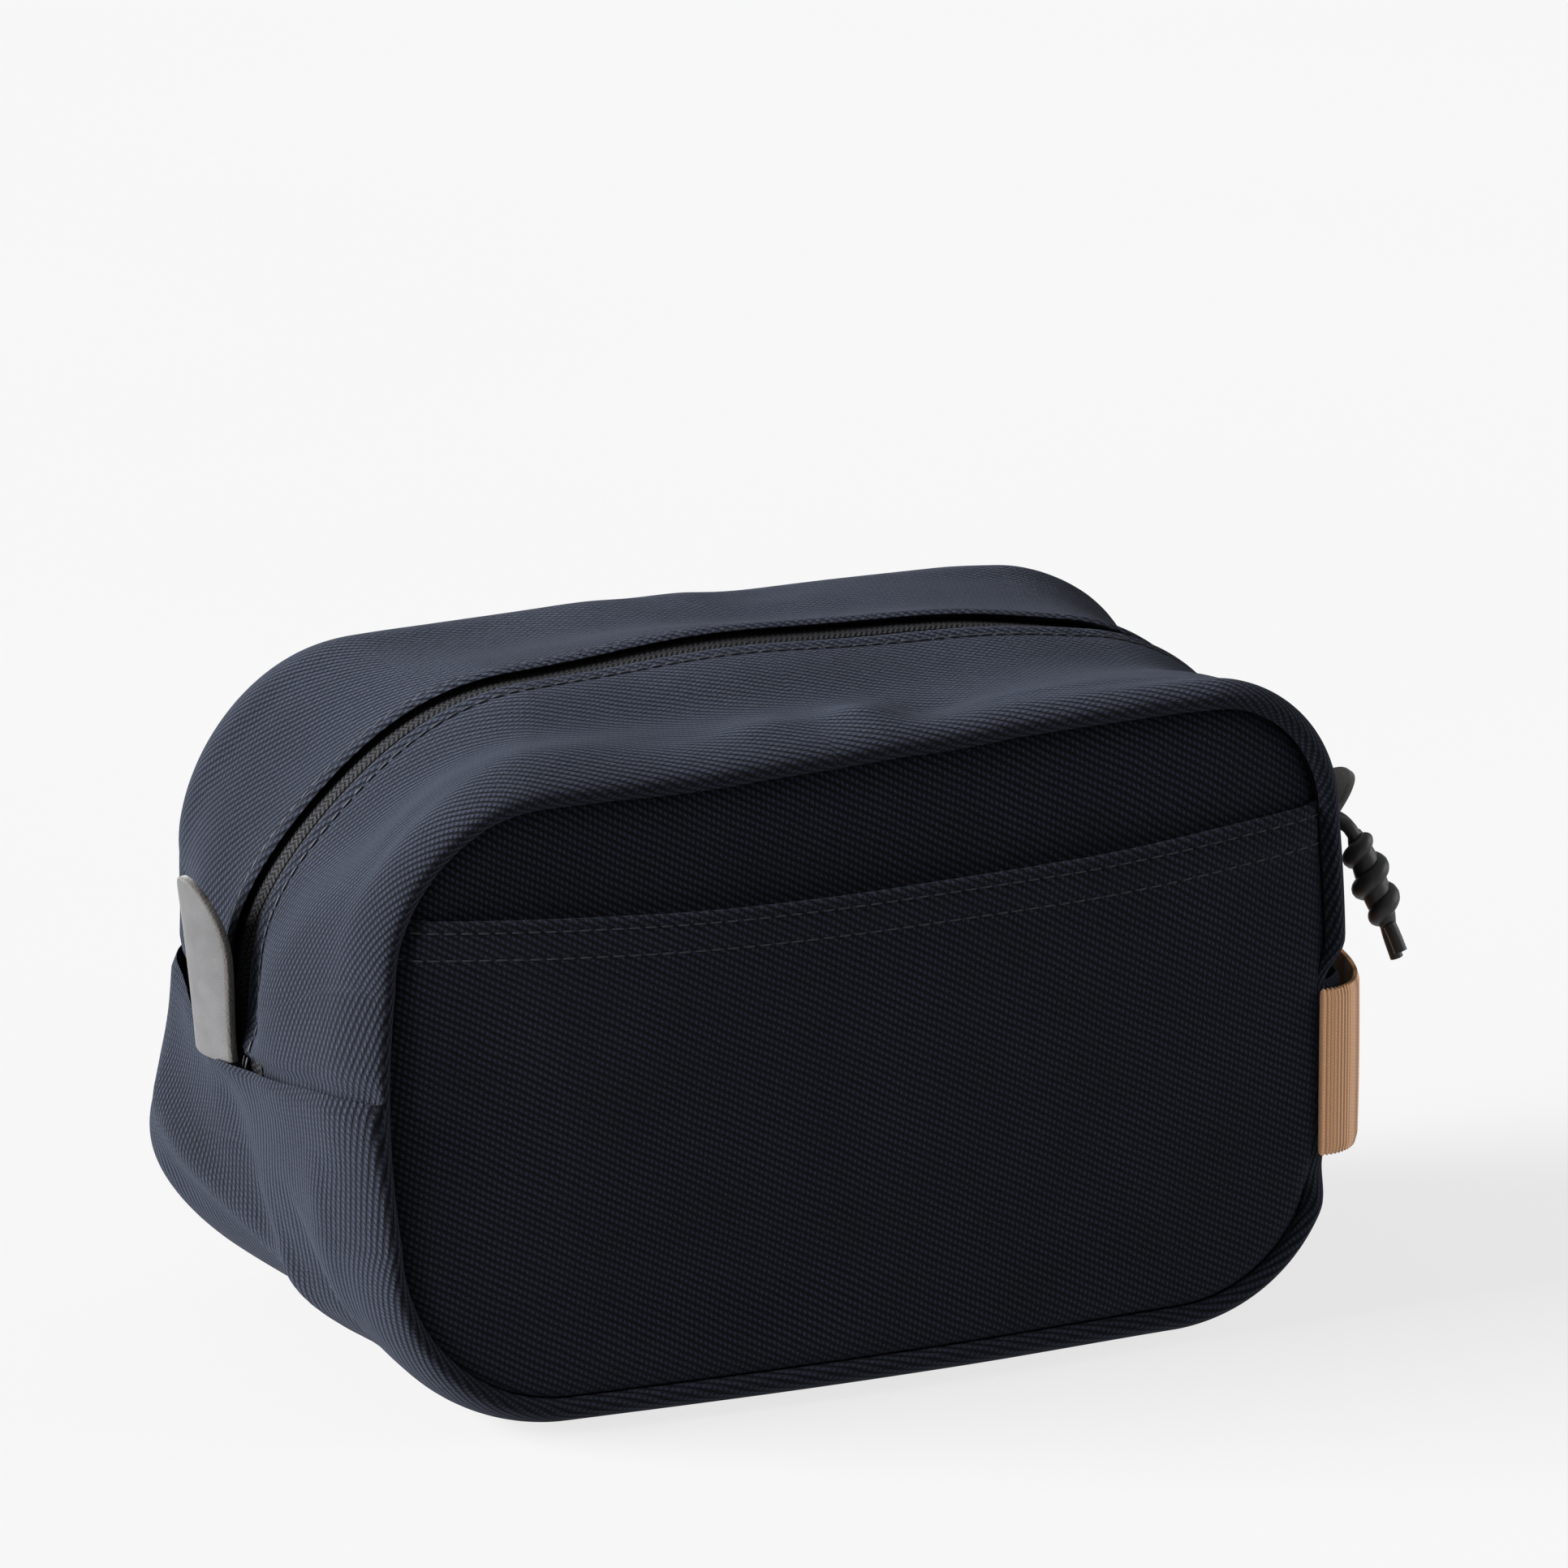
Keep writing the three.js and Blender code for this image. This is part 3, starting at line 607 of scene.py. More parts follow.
def sky_and_floor():
    world = bpy.data.worlds.new("studio")
    world.use_nodes = True
    background = world.node_tree.nodes["Background"]
    background.inputs[0].default_value = (0.96, 0.98, 1.0, 1)
    background.inputs[1].default_value = SKY_STRENGTH
    bpy.context.scene.world = world
    bpy.context.scene.view_settings.view_transform = "Standard"

    reach = FLOOR_REACH
    floor = new_mesh("floor", [(-reach, -reach, 0), (reach, -reach, 0), (reach, reach, 0),
                               (-reach, reach, 0)], [(0, 1, 2, 3)])
    pale = Finish("pale_floor", 0.9, Specular_IOR_Level=0.0, Emission_Strength=0.76)
    speckle = pale.noise(pale.object_place(), 3)
    pale.colour(pale.mix(speckle, (0.046, 0.046, 0.046), (0.050, 0.050, 0.050)))
    pale.shader.inputs["Emission Color"].default_value = (1, 1, 1, 1)
    floor.data.materials.append(pale.material)


place_camera()
place_suns()
sky_and_floor()


# ---- gusset: lower strip, upper halves, tapes and linings ----

def even_stations(start, end, step):
    """Stations from start to end, evenly spaced along the bag's middle line."""
    fine = np.linspace(start, end, 3000)
    line = middle_line(fine)
    line[-1] = middle_line(np.array([end - 1e-6]))[0]
    run = np.concatenate([[0], np.cumsum(np.linalg.norm(np.diff(line, axis=0), axis=1))])
    count = max(2, int(round(run[-1] / step)) + 1)
    return np.interp(np.linspace(0, run[-1], count), run, fine)


def depth_rows(nearest, step=1.3):
    """Distances from the middle, from the seam inward to nearest, close together on the roll."""
    turn = np.linspace(0, math.pi / 2, 16)
    rolled = HALF_DEPTH - ROLL_DEPTH * (1 - np.cos(turn))
    count = int((rolled[-1] - nearest) / step) + 2
    return np.concatenate([rolled, np.linspace(rolled[-1], nearest, count)[1:]])


def crown_middle():
    """The station at which the crown passes over the bag's middle."""
    fine = np.linspace(CROWN, CROWN + 1, 400)
    return float(np.interp(0.0, -middle_line(fine)[:, 0], fine))


TOP_MIDDLE = crown_middle()
TOP_HALVES = {"right": (RIGHT_SEAM, TOP_MIDDLE), "left": (TOP_MIDDLE, LEFT_SEAM)}
UNDER_HEM = 0.17
HEM_REACH, HEM_LIFT, HEM_LIFT_MIDDLE = 7.0, 2.5, 3.2
TUCK_DEPTH, TUCK_REACH = 2.2, 0.13
TOP_WALES = dict(front=math.radians(27), back=math.radians(33))
LOWER_WALES = math.radians(15)


def hem_slope(station, y):
    """The left side seam rides up behind its tab: stations [station][row]."""
    reach = np.exp(-((station - LEFT_SEAM) / 0.75) ** 2)[:, None]
    drop = 0.06 - 0.24 * np.exp(-(y / 21) ** 2)
    return station[:, None] + reach * drop[None]


def roll_forward(points):
    """The roll stands proud of the panel, and lies flat under the side strap."""
    depth = HALF_DEPTH - np.abs(points[..., 1])
    short = np.clip(1 - depth / ROLL_DEPTH, 0, 1)
    out = np.sqrt(1 - short ** 2)
    proud = 2.9 * np.sin(math.pi * out ** 0.8) ** 1.1 * (depth < ROLL_DEPTH)
    x, z = points[..., 0], points[..., 2]
    strap_band = smooth(x, 96, 108) * smooth(z, 25, 36) * (1 - smooth(z, 78, 88))
    proud *= 1 - strap_band
    rolled = points.copy()
    rolled[..., 0] -= 2.2 * strap_band * smooth(ROLL_DEPTH + 8 - depth, 0, 10)
    rolled[..., 1] += np.sign(points[..., 1]) * proud
    return rolled


def gusset_surface(station, y):
    """The finished outer face of the gusset at stations and depths."""
    return settle(roll_forward(slack_skin(hem_slope(station, y), y)))


def layer(name, station, y, inset, thickness, wales, material, lift=None, fold=None):
    """A layer of the gusset between two insets. lift stands it out, by grid point."""
    surface = gusset_surface(station, y)
    normal = grid_normals(surface)
    if lift is not None:
        surface = surface + normal * lift[..., None]
    middle = surface - normal * (inset + thickness / 2)
    half = thickness / 2 * np.ones(surface.shape[:2])
    if fold is not None:
        half = rounded(fold, thickness)
    half = half[..., None]
    return shell(name, middle + normal * half, middle - normal * half, wales, material)


def lower_strip():
    """The floor and both lower sides in one, its ends hemmed over the upper cloth."""
    station = even_stations(LEFT_SEAM - 0.03, RIGHT_SEAM + 10.03, 1.3)
    inner = depth_rows(0.0)
    y = np.concatenate([-inner, inner[::-1][1:]])
    run = np.linalg.norm(np.diff(middle_line(station), axis=0), axis=1)
    from_left = np.concatenate([[0], np.cumsum(run)])
    edge = np.minimum(from_left, from_left[-1] - from_left)[:, None]
    middle = np.exp(-(np.abs(y) / 15.0) ** 4)[None]
    hem = np.exp(-(edge / HEM_REACH) ** 2)
    on_left = (from_left < from_left[-1] / 2)[:, None]
    near_seam = HALF_DEPTH - np.abs(y)[None]
    from_seam = np.where(on_left, smooth(near_seam, 0, 1.6), smooth(near_seam, 1.5, 11))
    height = HEM_LIFT + HEM_LIFT_MIDDLE * middle
    lift = hem * height * (1 - 0.5 * smooth(y, 14, 50)[None]) * from_seam
    fold = np.broadcast_to(edge, (len(station), len(y)))
    lower = layer("gusset_lower_cloth", station, y, 0.0, CANVAS + 0.4, LOWER_WALES, TWILL,
                  lift, fold)
    carry(lower, replaces=("gusset_lower",))
    inner = depth_rows(0, 4)[6:]
    lining = layer("lining_lower_cloth", even_stations(LEFT_SEAM, RIGHT_SEAM + 10, 4),
                   np.concatenate([-inner, inner[::-1][1:]]), LINING_INSET, LINING_THICKNESS,
                   0, LINING)
    carry(lining, replaces=("lining_lower",))


def top_half(front, side):
    """One quarter of the top: cloth turned in at the zip, its tape and its lining."""
    face = "front" if front else "back"
    sign = -1 if front else 1
    left = side == "left"
    start, end = TOP_HALVES[side]
    if left:
        station = even_stations(start, end + UNDER_HEM, 1.2)
    else:
        station = even_stations(start - UNDER_HEM, end, 1.2)
    middle = [f"{face}_middle"] if left else []

    def nodes(kind):
        return [f"{kind}_{part}" for part in [f"{face}_{side}", *middle]]

    y = depth_rows(CLOTH_EDGE[face], 1.2)
    near_fold = np.abs(y) - CLOTH_EDGE[face]
    puff = 0.55 * bump(near_fold, 2.2, 1.7) - 0.35 * bump(near_fold, 4.6, 1.0)
    puff += (0.0 if front else BACK_FOLD_RISE) * np.exp(-near_fold / 7.0)
    from_hem = np.maximum(np.minimum(station - RIGHT_SEAM, LEFT_SEAM - station), 0)
    tucked = -TUCK_DEPTH * np.exp(-(from_hem / TUCK_REACH) ** 2)
    lift = puff[None] + tucked[:, None] * smooth(HALF_DEPTH - np.abs(y), 0, 2.5)[None]
    fold = np.broadcast_to(near_fold[None], lift.shape)
    y = sign * y
    order = slice(None) if front else slice(None, None, -1)
    cloth_piece = layer(f"gusset_top_{face}_{side}_cloth", station, y[order], 0.0, CANVAS,
                        TOP_WALES[face], TWILL, lift[:, order], fold[:, order])
    carry_mouth(cloth_piece, nodes("gusset_top"))

    tape_rows = np.linspace(TAPE_OUTER, TAPE_INNER, 16)
    fold = np.broadcast_to((tape_rows - TAPE_INNER)[None], (len(station), len(tape_rows)))
    tape = layer(f"zip_tape_{face}_{side}_weave", station, (sign * tape_rows)[order],
                 TAPE_TOP + (0.15 if front else 0.0), TAPE_THICKNESS, 0.0, TAPE,
                 fold=fold[:, order])
    carry_mouth(tape, nodes("zip_tape"))

    lining_rows = depth_rows(LINING_EDGE, 3.0)[8:]
    lining = layer(f"lining_top_{face}_{side}_cloth", even_stations(start, end, 3),
                   (sign * lining_rows)[order], LINING_INSET, LINING_THICKNESS, 0.3, LINING)
    carry_mouth(lining, nodes("lining_top"))


lower_strip()
for on_front in (True, False):
    for half_side in ("right", "left"):
        top_half(on_front, half_side)


# ---- front, back and pocket panels ----

def panel_columns():
    """Places across a panel, closer together where its corners turn."""
    corner_radius = PANEL_CORNERS["top_left"]
    straight_half = PANEL_HALF - corner_radius
    turn = straight_half + corner_radius * np.sin(np.linspace(0, math.pi / 2, 26))
    return np.concatenate([-turn[::-1], np.linspace(-straight_half, straight_half, 96)[1:-1], turn])


def panel_edge(x, top):
    """The height of a panel's lower or upper edge at each place across."""
    names = ("top_left", "top_right") if top else ("bottom_left", "bottom_right")
    drop = np.zeros_like(x)
    for name, sign in zip(names, (-1, 1)):
        radius = PANEL_CORNERS[name]
        into = np.clip(sign * x - (PANEL_HALF - radius), 0, radius)
        drop += radius - np.sqrt(radius ** 2 - into ** 2)
    return PANEL_TOP - drop if top else PANEL_BOTTOM + drop


def panel_points(x, low, high, rows):
    """A grid over the panel plane, bowed at the sides: [column][row] of x and z."""
    share = (1 - np.cos(np.linspace(0, math.pi, rows))) / 2
    share = 0.5 * share + 0.5 * np.linspace(0, 1, rows)
    z = low[:, None] + (high - low)[:, None] * share[None]
    t = np.clip((z - 40) / (PANEL_TOP - 28 - 40), 0, 1)
    bow = PANEL_BOW * 4 * t * (1 - t) * np.sign(x)[:, None] * np.abs(x / PANEL_HALF)[:, None] ** 3
    return x[:, None] + bow, z


def seam_distance(x, z):
    """How far a place on a panel is from its seam, roughly."""
    sides = PANEL_HALF + PANEL_BOW * 0.6 - np.abs(x)
    low = z - panel_edge(np.clip(x, -PANEL_HALF, PANEL_HALF), False)
    high = panel_edge(np.clip(x, -PANEL_HALF, PANEL_HALF), True) - z
    stack = np.stack([sides, low, high])
    return -4 * np.log(np.exp(-np.maximum(stack, 0) / 4).sum(0))


def panel_swell(x, z):
    """How far the filled bag pushes a panel out past its seam."""
    inward = np.maximum(seam_distance(x, z), 0)
    taut = 2.7 * (1 - np.exp(-inward / 2.6)) + 1.3 * smooth(inward, 4, 60)
    ripple = (0.45 * np.sin(x / 17 + z / 26 + 0.6) * np.sin(z / 15 - x / 41)
              + 0.5 * bump(z, 20, 14) * np.sin(x / 13.0 + 0.8)) * smooth(inward, 2, 22)
    return taut + ripple


def hem_height(x):
    """The pocket's hem: lowest right of the middle, rising to both seams."""
    left = 5.3 * np.clip(-x / PANEL_HALF, 0, 1) ** 1.6
    right = 4.6 * np.clip((x - 45) / (PANEL_HALF - 45), 0, 1) ** 1.8
    return PANEL_TOP - 25.8 + left + right


def flat_sheet(name, x, z, y_out, y_in, wales, material):
    """A closed sheet over a panel grid between two depths. Both depths grow towards the back."""
    outer = settle(np.stack([x, y_out, z], -1))
    inner = settle(np.stack([x, y_in, z], -1))
    piece = shell(name, outer, inner, 0.0, material)
    c, s = math.cos(wales), math.sin(wales)
    uv = np.stack([c * x + s * z, -s * x + c * z], -1).reshape(-1, 2)
    corners = np.zeros(len(piece.data.loops), int)
    piece.data.loops.foreach_get("vertex_index", corners)
    both = np.concatenate([uv, uv])
    piece.data.uv_layers["cloth"].data.foreach_set(
        "uv", both[corners].astype(np.float32).ravel())
    return piece


FRONT_WALES = math.radians(-29)
SEAM_DEPTH = 3.0


def panels():
    """The front and back panels with their linings."""
    x_line = panel_columns()
    low, high = panel_edge(x_line, False), panel_edge(x_line, True)
    x, z = panel_points(x_line, low, high, 90)
    out = panel_swell(x, z)
    front = flat_sheet("front_panel_cloth", x, z, -HALF_DEPTH - out + SEAM_DEPTH,
                       -HALF_DEPTH - out + SEAM_DEPTH + CANVAS, FRONT_WALES, TWILL)
    carry(front, replaces=("front_panel",))
    back = flat_sheet("back_panel_cloth", x[::-1], z[::-1], HALF_DEPTH + out[::-1] - SEAM_DEPTH,
                      HALF_DEPTH + out[::-1] - SEAM_DEPTH - CANVAS, -FRONT_WALES, TWILL)
    carry(back, replaces=("back_panel",))
    shrink = 1.4
    x_in = x_line * (1 - shrink / PANEL_HALF)
    x, z = panel_points(x_in, low + shrink, high - shrink, 30)
    inset = HALF_DEPTH - 2.6 + 0.2 * panel_swell(x, z)
    for face, sign in (("front", -1), ("back", 1)):
        order = slice(None) if face == "front" else slice(None, None, -1)
        lining = flat_sheet(f"lining_{face}_cloth", x[order], z[order], sign * inset[order],
                            sign * (inset[order] - LINING_THICKNESS), 0.0, LINING)
        carry(lining, replaces=(f"lining_{face}",))


HEM_FOLD = 8.8, 10.5
POCKET_ROWS = 2.5, 8.5
HEM_EXTRA = 0.9


def hem_cover(x, z):
    """1 on the pocket's folded hem, 0 below it."""
    return smooth(z - hem_height(x), -HEM_FOLD[1], -HEM_FOLD[0])


def pocket_depth(x, z):
    """The pocket's outer face: over the front panel, gaping towards its hem."""
    rise = np.clip((z - PANEL_BOTTOM) / (hem_height(x) - PANEL_BOTTOM), 0, 1)
    inward = np.maximum(seam_distance(x, z), 0)
    gape = 5.0 * (1 - np.minimum(1, np.abs(x) / PANEL_HALF) ** 2) * rise ** 2.2
    full = 1.2 * smooth(inward, 3, 40)
    below_hem = hem_height(x) - z
    hemmed = 0.5 * hem_cover(x, z)
    sewn = -0.3 * sum(bump(below_hem, place, 0.9) for place in POCKET_ROWS)
    ripple = 0.5 * bump(z, 14, 9) * np.sin(x / 8.5 + 1.9) * smooth(inward, 1, 12)
    on_panel = HALF_DEPTH + panel_swell(x, z) - SEAM_DEPTH + 0.5 + CANVAS
    return on_panel + gape + full + hemmed + sewn + ripple


def pocket():
    """The pocket in two halves, left and right of the middle."""
    columns = panel_columns()
    for left in (True, False):
        x_line = columns[columns <= 0] if left else columns[columns >= 0]
        if x_line[-1 if left else 0] != 0:
            x_line = np.append(x_line, 0.0) if left else np.insert(x_line, 0, 0.0)
        high = hem_height(x_line)
        low = np.minimum(panel_edge(x_line, False), high - 1)
        x, z = panel_points(x_line, low, high, 110)
        out = pocket_depth(x, z)
        edge = np.minimum(hem_height(x) - z, 4)
        thick = CANVAS + HEM_EXTRA * hem_cover(x, z)
        pinch = rounded(edge, CANVAS + HEM_EXTRA) / ((CANVAS + HEM_EXTRA) / 2)
        middle = -(out - thick / 2)
        half = thick / 2 * np.clip(pinch, 0.1, 1)
        piece = flat_sheet(f"pocket_{'left' if left else 'right'}_cloth", x, z,
                           middle - half, middle + half, FRONT_WALES, TWILL)
        carry_pocket(piece, ("pocket_panel",) if left else ())


panels()
pocket()


# ---- stitches and coil teeth, set along a line by geometry nodes ----

def ring_faces(rings, sides):
    """Faces of a closed solid made of rings of points, one after another."""
    faces = [(r * sides + k, r * sides + (k + 1) % sides, (r + 1) * sides + (k + 1) % sides,
              (r + 1) * sides + k) for r in range(rings - 1) for k in range(sides)]
    faces.append(tuple(range(sides))[::-1])
    faces.append(tuple((rings - 1) * sides + k for k in range(sides)))
    return faces


def unit_shape(name, rings, sides):
    """A small closed solid along X from (place, radius_y, radius_z) rings."""
    angle = np.linspace(0, 2 * math.pi, sides, endpoint=False)
    points = [(x, ry * math.cos(a), rz * math.sin(a)) for x, ry, rz in rings for a in angle]
    mesh = bpy.data.meshes.new(name)
    mesh.from_pydata([tuple(np.array(p) * MM) for p in points], [],
                     [face[::-1] for face in ring_faces(len(rings), sides)])
    mesh.polygons.foreach_set("use_smooth", [True] * len(mesh.polygons))
    return bpy.data.objects.new(name, mesh)


def row_tree():
    """Instances of a shape set at an even pitch along a line, turned to follow it."""
    tree = bpy.data.node_groups.new("row_along_line", "GeometryNodeTree")
    face = tree.interface
    face.new_socket("Geometry", in_out="OUTPUT", socket_type="NodeSocketGeometry")
    face.new_socket("Geometry", in_out="INPUT", socket_type="NodeSocketGeometry")
    for label, kind in (("Shape", "Object"), ("Pitch", "Float"), ("Finish", "Material")):
        face.new_socket(label, in_out="INPUT", socket_type=f"NodeSocket{kind}")
    nodes, links = tree.nodes, tree.links
    source = nodes.new("NodeGroupInput")
    result = nodes.new("NodeGroupOutput")
    line = nodes.new("GeometryNodeMeshToCurve")
    spaced = nodes.new("GeometryNodeResampleCurve")
    spaced.mode = "LENGTH"
    tangent = nodes.new("GeometryNodeInputTangent")
    turn = nodes.new("FunctionNodeAlignRotationToVector")
    turn.axis = "X"
    shape = nodes.new("GeometryNodeObjectInfo")
    place = nodes.new("GeometryNodeInstanceOnPoints")
    real = nodes.new("GeometryNodeRealizeInstances")
    coat = nodes.new("GeometryNodeSetMaterial")
    links.new(source.outputs["Geometry"], line.inputs[0])
    links.new(line.outputs[0], spaced.inputs["Curve"])
    links.new(source.outputs["Pitch"], spaced.inputs["Length"])
    links.new(spaced.outputs[0], place.inputs["Points"])
    links.new(source.outputs["Shape"], shape.inputs["Object"])
    links.new(shape.outputs["Geometry"], place.inputs["Instance"])
    links.new(tangent.outputs[0], turn.inputs["Vector"])
    links.new(turn.outputs[0], place.inputs["Rotation"])
    links.new(place.outputs[0], real.inputs[0])
    links.new(real.outputs[0], coat.inputs["Geometry"])
    links.new(source.outputs["Finish"], coat.inputs["Material"])
    links.new(coat.outputs[0], result.inputs[0])
    return tree


STITCH_PITCH, TOOTH_PITCH = 3.7, 1.4
TOP_ROWS = 2.9, 4.9
ROW_TREE = row_tree()
STITCH = unit_shape("stitch", [(-1.35, 0.08, 0.05), (-1.05, 0.24, 0.2), (0, 0.29, 0.25),
                               (1.05, 0.24, 0.2), (1.35, 0.08, 0.05)], 6)
TOOTH = unit_shape("tooth", [(-0.42, 0.9, 0.55), (-0.2, 1.1, 0.8), (0.2, 1.1, 0.8),
                             (0.42, 0.9, 0.55)], 8)


def row(name, lines, shape, pitch, material):
    """One mesh of shapes along each of several lines of points, in millimetres."""
    points, edges = [], []
    for line in lines:
        first = len(points)
        points += [tuple(np.array(p) * MM) for p in line]
        edges += [(first + k, first + k + 1) for k in range(len(line) - 1)]
    mesh = bpy.data.meshes.new(name + "_line")
    mesh.from_pydata(points, edges, [])
    guide = bpy.data.objects.new(name + "_line", mesh)
    bpy.context.scene.collection.objects.link(guide)
    modifier = guide.modifiers.new("row", "NODES")
    modifier.node_group = ROW_TREE
    values = {"Shape": shape, "Pitch": pitch * MM, "Finish": material}
    for item in ROW_TREE.interface.items_tree:
        if item.in_out == "INPUT" and item.name in values:
            modifier[item.identifier] = values[item.name]
    depsgraph = bpy.context.evaluated_depsgraph_get()
    made = bpy.data.meshes.new_from_object(guide.evaluated_get(depsgraph))
    made.name = name
    bpy.data.objects.remove(guide)
    piece = bpy.data.objects.new(name, made)
    bpy.context.scene.collection.objects.link(piece)
    return piece


def line_on_top(start, end, y, inset, lift=0.0):
    """A line along the gusset at depth y, an inset below its surface."""
    station = even_stations(start, end, 1.5)
    rows = np.array([y - 0.6, y, y + 0.6])
    surface = gusset_surface(station, rows)
    normal = grid_normals(surface)
    return surface[:, 1] - normal[:, 1] * (inset - lift)


def stitch_rows():
    """Two rows beside each side of the zip with its coil's teeth, and two on the pocket's hem."""
    for front in (True, False):
        sign = -1 if front else 1
        face = "front" if front else "back"
        rise = 0.0 if front else BACK_STITCH_RISE
        for side, (start, end) in TOP_HALVES.items():
            left = side == "left"
            lines = [line_on_top(start, end, sign * (STITCH_EDGE[face] + off), -0.02, rise)
                     for off in TOP_ROWS]
            piece = row(f"stitches_{face}_{side}", lines, STITCH, STITCH_PITCH, THREAD)
            carry_mouth(piece)
            teeth = row(f"coil_teeth_{face}_{side}",
                        [line_on_top(start, end, sign * COIL_PLACE, COIL_INSET)],
                        TOOTH, TOOTH_PITCH, COIL)
            middle = [f"zip_coil_{face}_middle"] if left else []
            carry_mouth(teeth, [f"zip_coil_{face}_{side}", *middle])
    for left in (True, False):
        x = np.linspace(-PANEL_HALF + 1.5, 0, 80) if left else np.linspace(0, PANEL_HALF - 1.5, 80)
        lines = []
        for below in POCKET_ROWS:
            z = hem_height(x) - below
            lines.append(settle(np.stack([x, -pocket_depth(x, z) - 0.02, z], -1)))
        side = "left" if left else "right"
        piece = row(f"stitches_pocket_{side}", lines, STITCH, STITCH_PITCH, THREAD)
        carry_pocket(piece)


stitch_rows()


# ---- side strap ----

WEBBING_THICKNESS, STRAP_RISE = 1.6, 1.5


def side_strap():
    """A band of webbing that bows out between its two seams, its edges serrated by the ribs."""
    box_low, box_high = corner("side_strap", 0), corner("side_strap", 1)
    half_span = box_high[1] - 0.5
    foot = PANEL_HALF + PANEL_BOW + GAP - 2.2
    bow = box_high[0] - 0.9 - foot - 2.2
    squareness = 2.6
    angle = np.linspace(math.pi / 2, -math.pi / 2, 4001)
    c, s = np.abs(np.cos(angle)), np.abs(np.sin(angle))
    x = foot + bow * c ** (2 / squareness)
    y = half_span * np.sign(angle) * s ** (2 / squareness)
    run = np.concatenate([[0], np.cumsum(np.hypot(np.diff(x), np.diff(y)))])
    even = np.linspace(0, run[-1], int(run[-1] / 0.275))
    line = np.stack([np.interp(even, run, x), np.interp(even, run, y)], -1)
    along = np.gradient(line, axis=0)
    along /= np.linalg.norm(along, axis=1)[:, None]
    out = np.stack([-along[:, 1], along[:, 0]], 1)
    out *= np.sign(out[:, 0] + 1e-9)[:, None]
    rib = np.cos(2 * math.pi * even / WEBBING_RIB_PITCH)
    share = np.linspace(0, 1, 22)
    top, bottom = box_high[2] + STRAP_RISE, box_low[2] + STRAP_RISE
    serrated = 0.28 * rib[:, None] * (2 * share - 1)[None] ** 6 * np.sign(share - 0.5)[None]
    z = bottom + (top - bottom) * share[None] + serrated
    edge = np.minimum(share, 1 - share)[None] * (top - bottom)
    half = rounded(edge + 0.1, WEBBING_THICKNESS) * (1 + 0.12 * rib[:, None])
    sag = 0.5 * np.sin(even / run[-1] * math.pi)[:, None] * (share - 0.5)[None] ** 2 * 4

    def face(sign):
        offset = sign * half - sag
        flat = line[:, None] + out[:, None] * offset[..., None]
        return np.stack([flat[..., 0], flat[..., 1], z], -1)

    strap = shell("side_strap_webbing", face(1), face(-1), 0.0, WEB)
    carry(strap, replaces=("side_strap",))


side_strap()


# ---- leather tabs ----

TAB_WIDTH, TAB_LENGTH, TAB_THICKNESS = 21.5, 38.0, 1.8
TAB_TIP = 17.0
CUT_EDGE = 0.75
TAB_LEAN = dict(left=-5.0, right=36.0)
TAB_YAW = dict(left=3.0, right=0.0)
TAB_ROOT = dict(left=-3.0, right=-5.0)
TAB_CUP = dict(left=3.4, right=1.2)
TAB_CURL = dict(left=0.9, right=3.5)
TAB_SHIFT = dict(left=(-3.6, 2.0, 2.5), right=(0.5, -3.0, 5.2))


def tab(side):
    """A stamped leather tab, rounded at its tip, standing on its root and leaning outwards."""
    sign = 1 if side == "right" else -1
    pivot = np.array(joints[f"tab_{side}_bend"]["pos_m"]) / MM
    tip = TAB_WIDTH / 2
    turn = np.linspace(0, math.pi / 2, 26)
    heights = np.concatenate([np.linspace(TAB_ROOT[side], TAB_LENGTH - TAB_TIP, 30)[:-1],
                              TAB_LENGTH - TAB_TIP + TAB_TIP * np.sin(turn)])
    rounding = np.clip((heights - TAB_LENGTH + TAB_TIP) / TAB_TIP, 0, 1)
    halves = tip * np.sqrt(np.maximum(1 - rounding ** 2, 0.0004))
    share = np.sin(np.linspace(-math.pi / 2, math.pi / 2, 25))
    waist = 0.88 + 0.12 * smooth(heights, 0, 22)
    y = (halves * waist)[:, None] * share[None]
    z = np.broadcast_to(heights[:, None], y.shape)
    edge = np.minimum((halves * waist)[:, None] - np.abs(y), (TAB_LENGTH - heights)[:, None])
    half = TAB_THICKNESS / 2 * np.clip(0.72 + edge / 1.2, 0, 1)
    curl = TAB_CURL[side] * (z / TAB_LENGTH) ** 2 - TAB_CUP[side] * (y / tip) ** 2
    root = np.array([pivot[0] - sign * 2, 0.0, pivot[2]])
    pivot = pivot + settle(root) - root + TAB_SHIFT[side]

    def face(which):
        return np.stack([sign * (curl + which * half), y, z], -1)

    piece = shell(f"tab_{side}_leather", face(1), face(-1), 0.0, GRAIN)
    piece.data.materials.append(FLESH)
    from_cut = np.concatenate([edge.ravel(), np.zeros(y.size)])
    for polygon in piece.data.polygons:
        polygon.material_index = int(from_cut[list(polygon.vertices)].mean() < CUT_EDGE)
    if sign < 0:
        piece.data.flip_normals()
    lean = math.radians(TAB_LEAN[side])
    yaw = Matrix.Rotation(math.radians(TAB_YAW[side]), 4, "Z")
    place = Matrix.Translation(Vector(pivot * MM)) @ yaw @ Matrix.Rotation(lean, 4, "Y")
    piece.data.transform(place)
    piece.data.update()
    carry(piece, f"tab_{side}", (f"tab_{side}",))


tab("right")
tab("left")


# ---- slider, zip stops ----

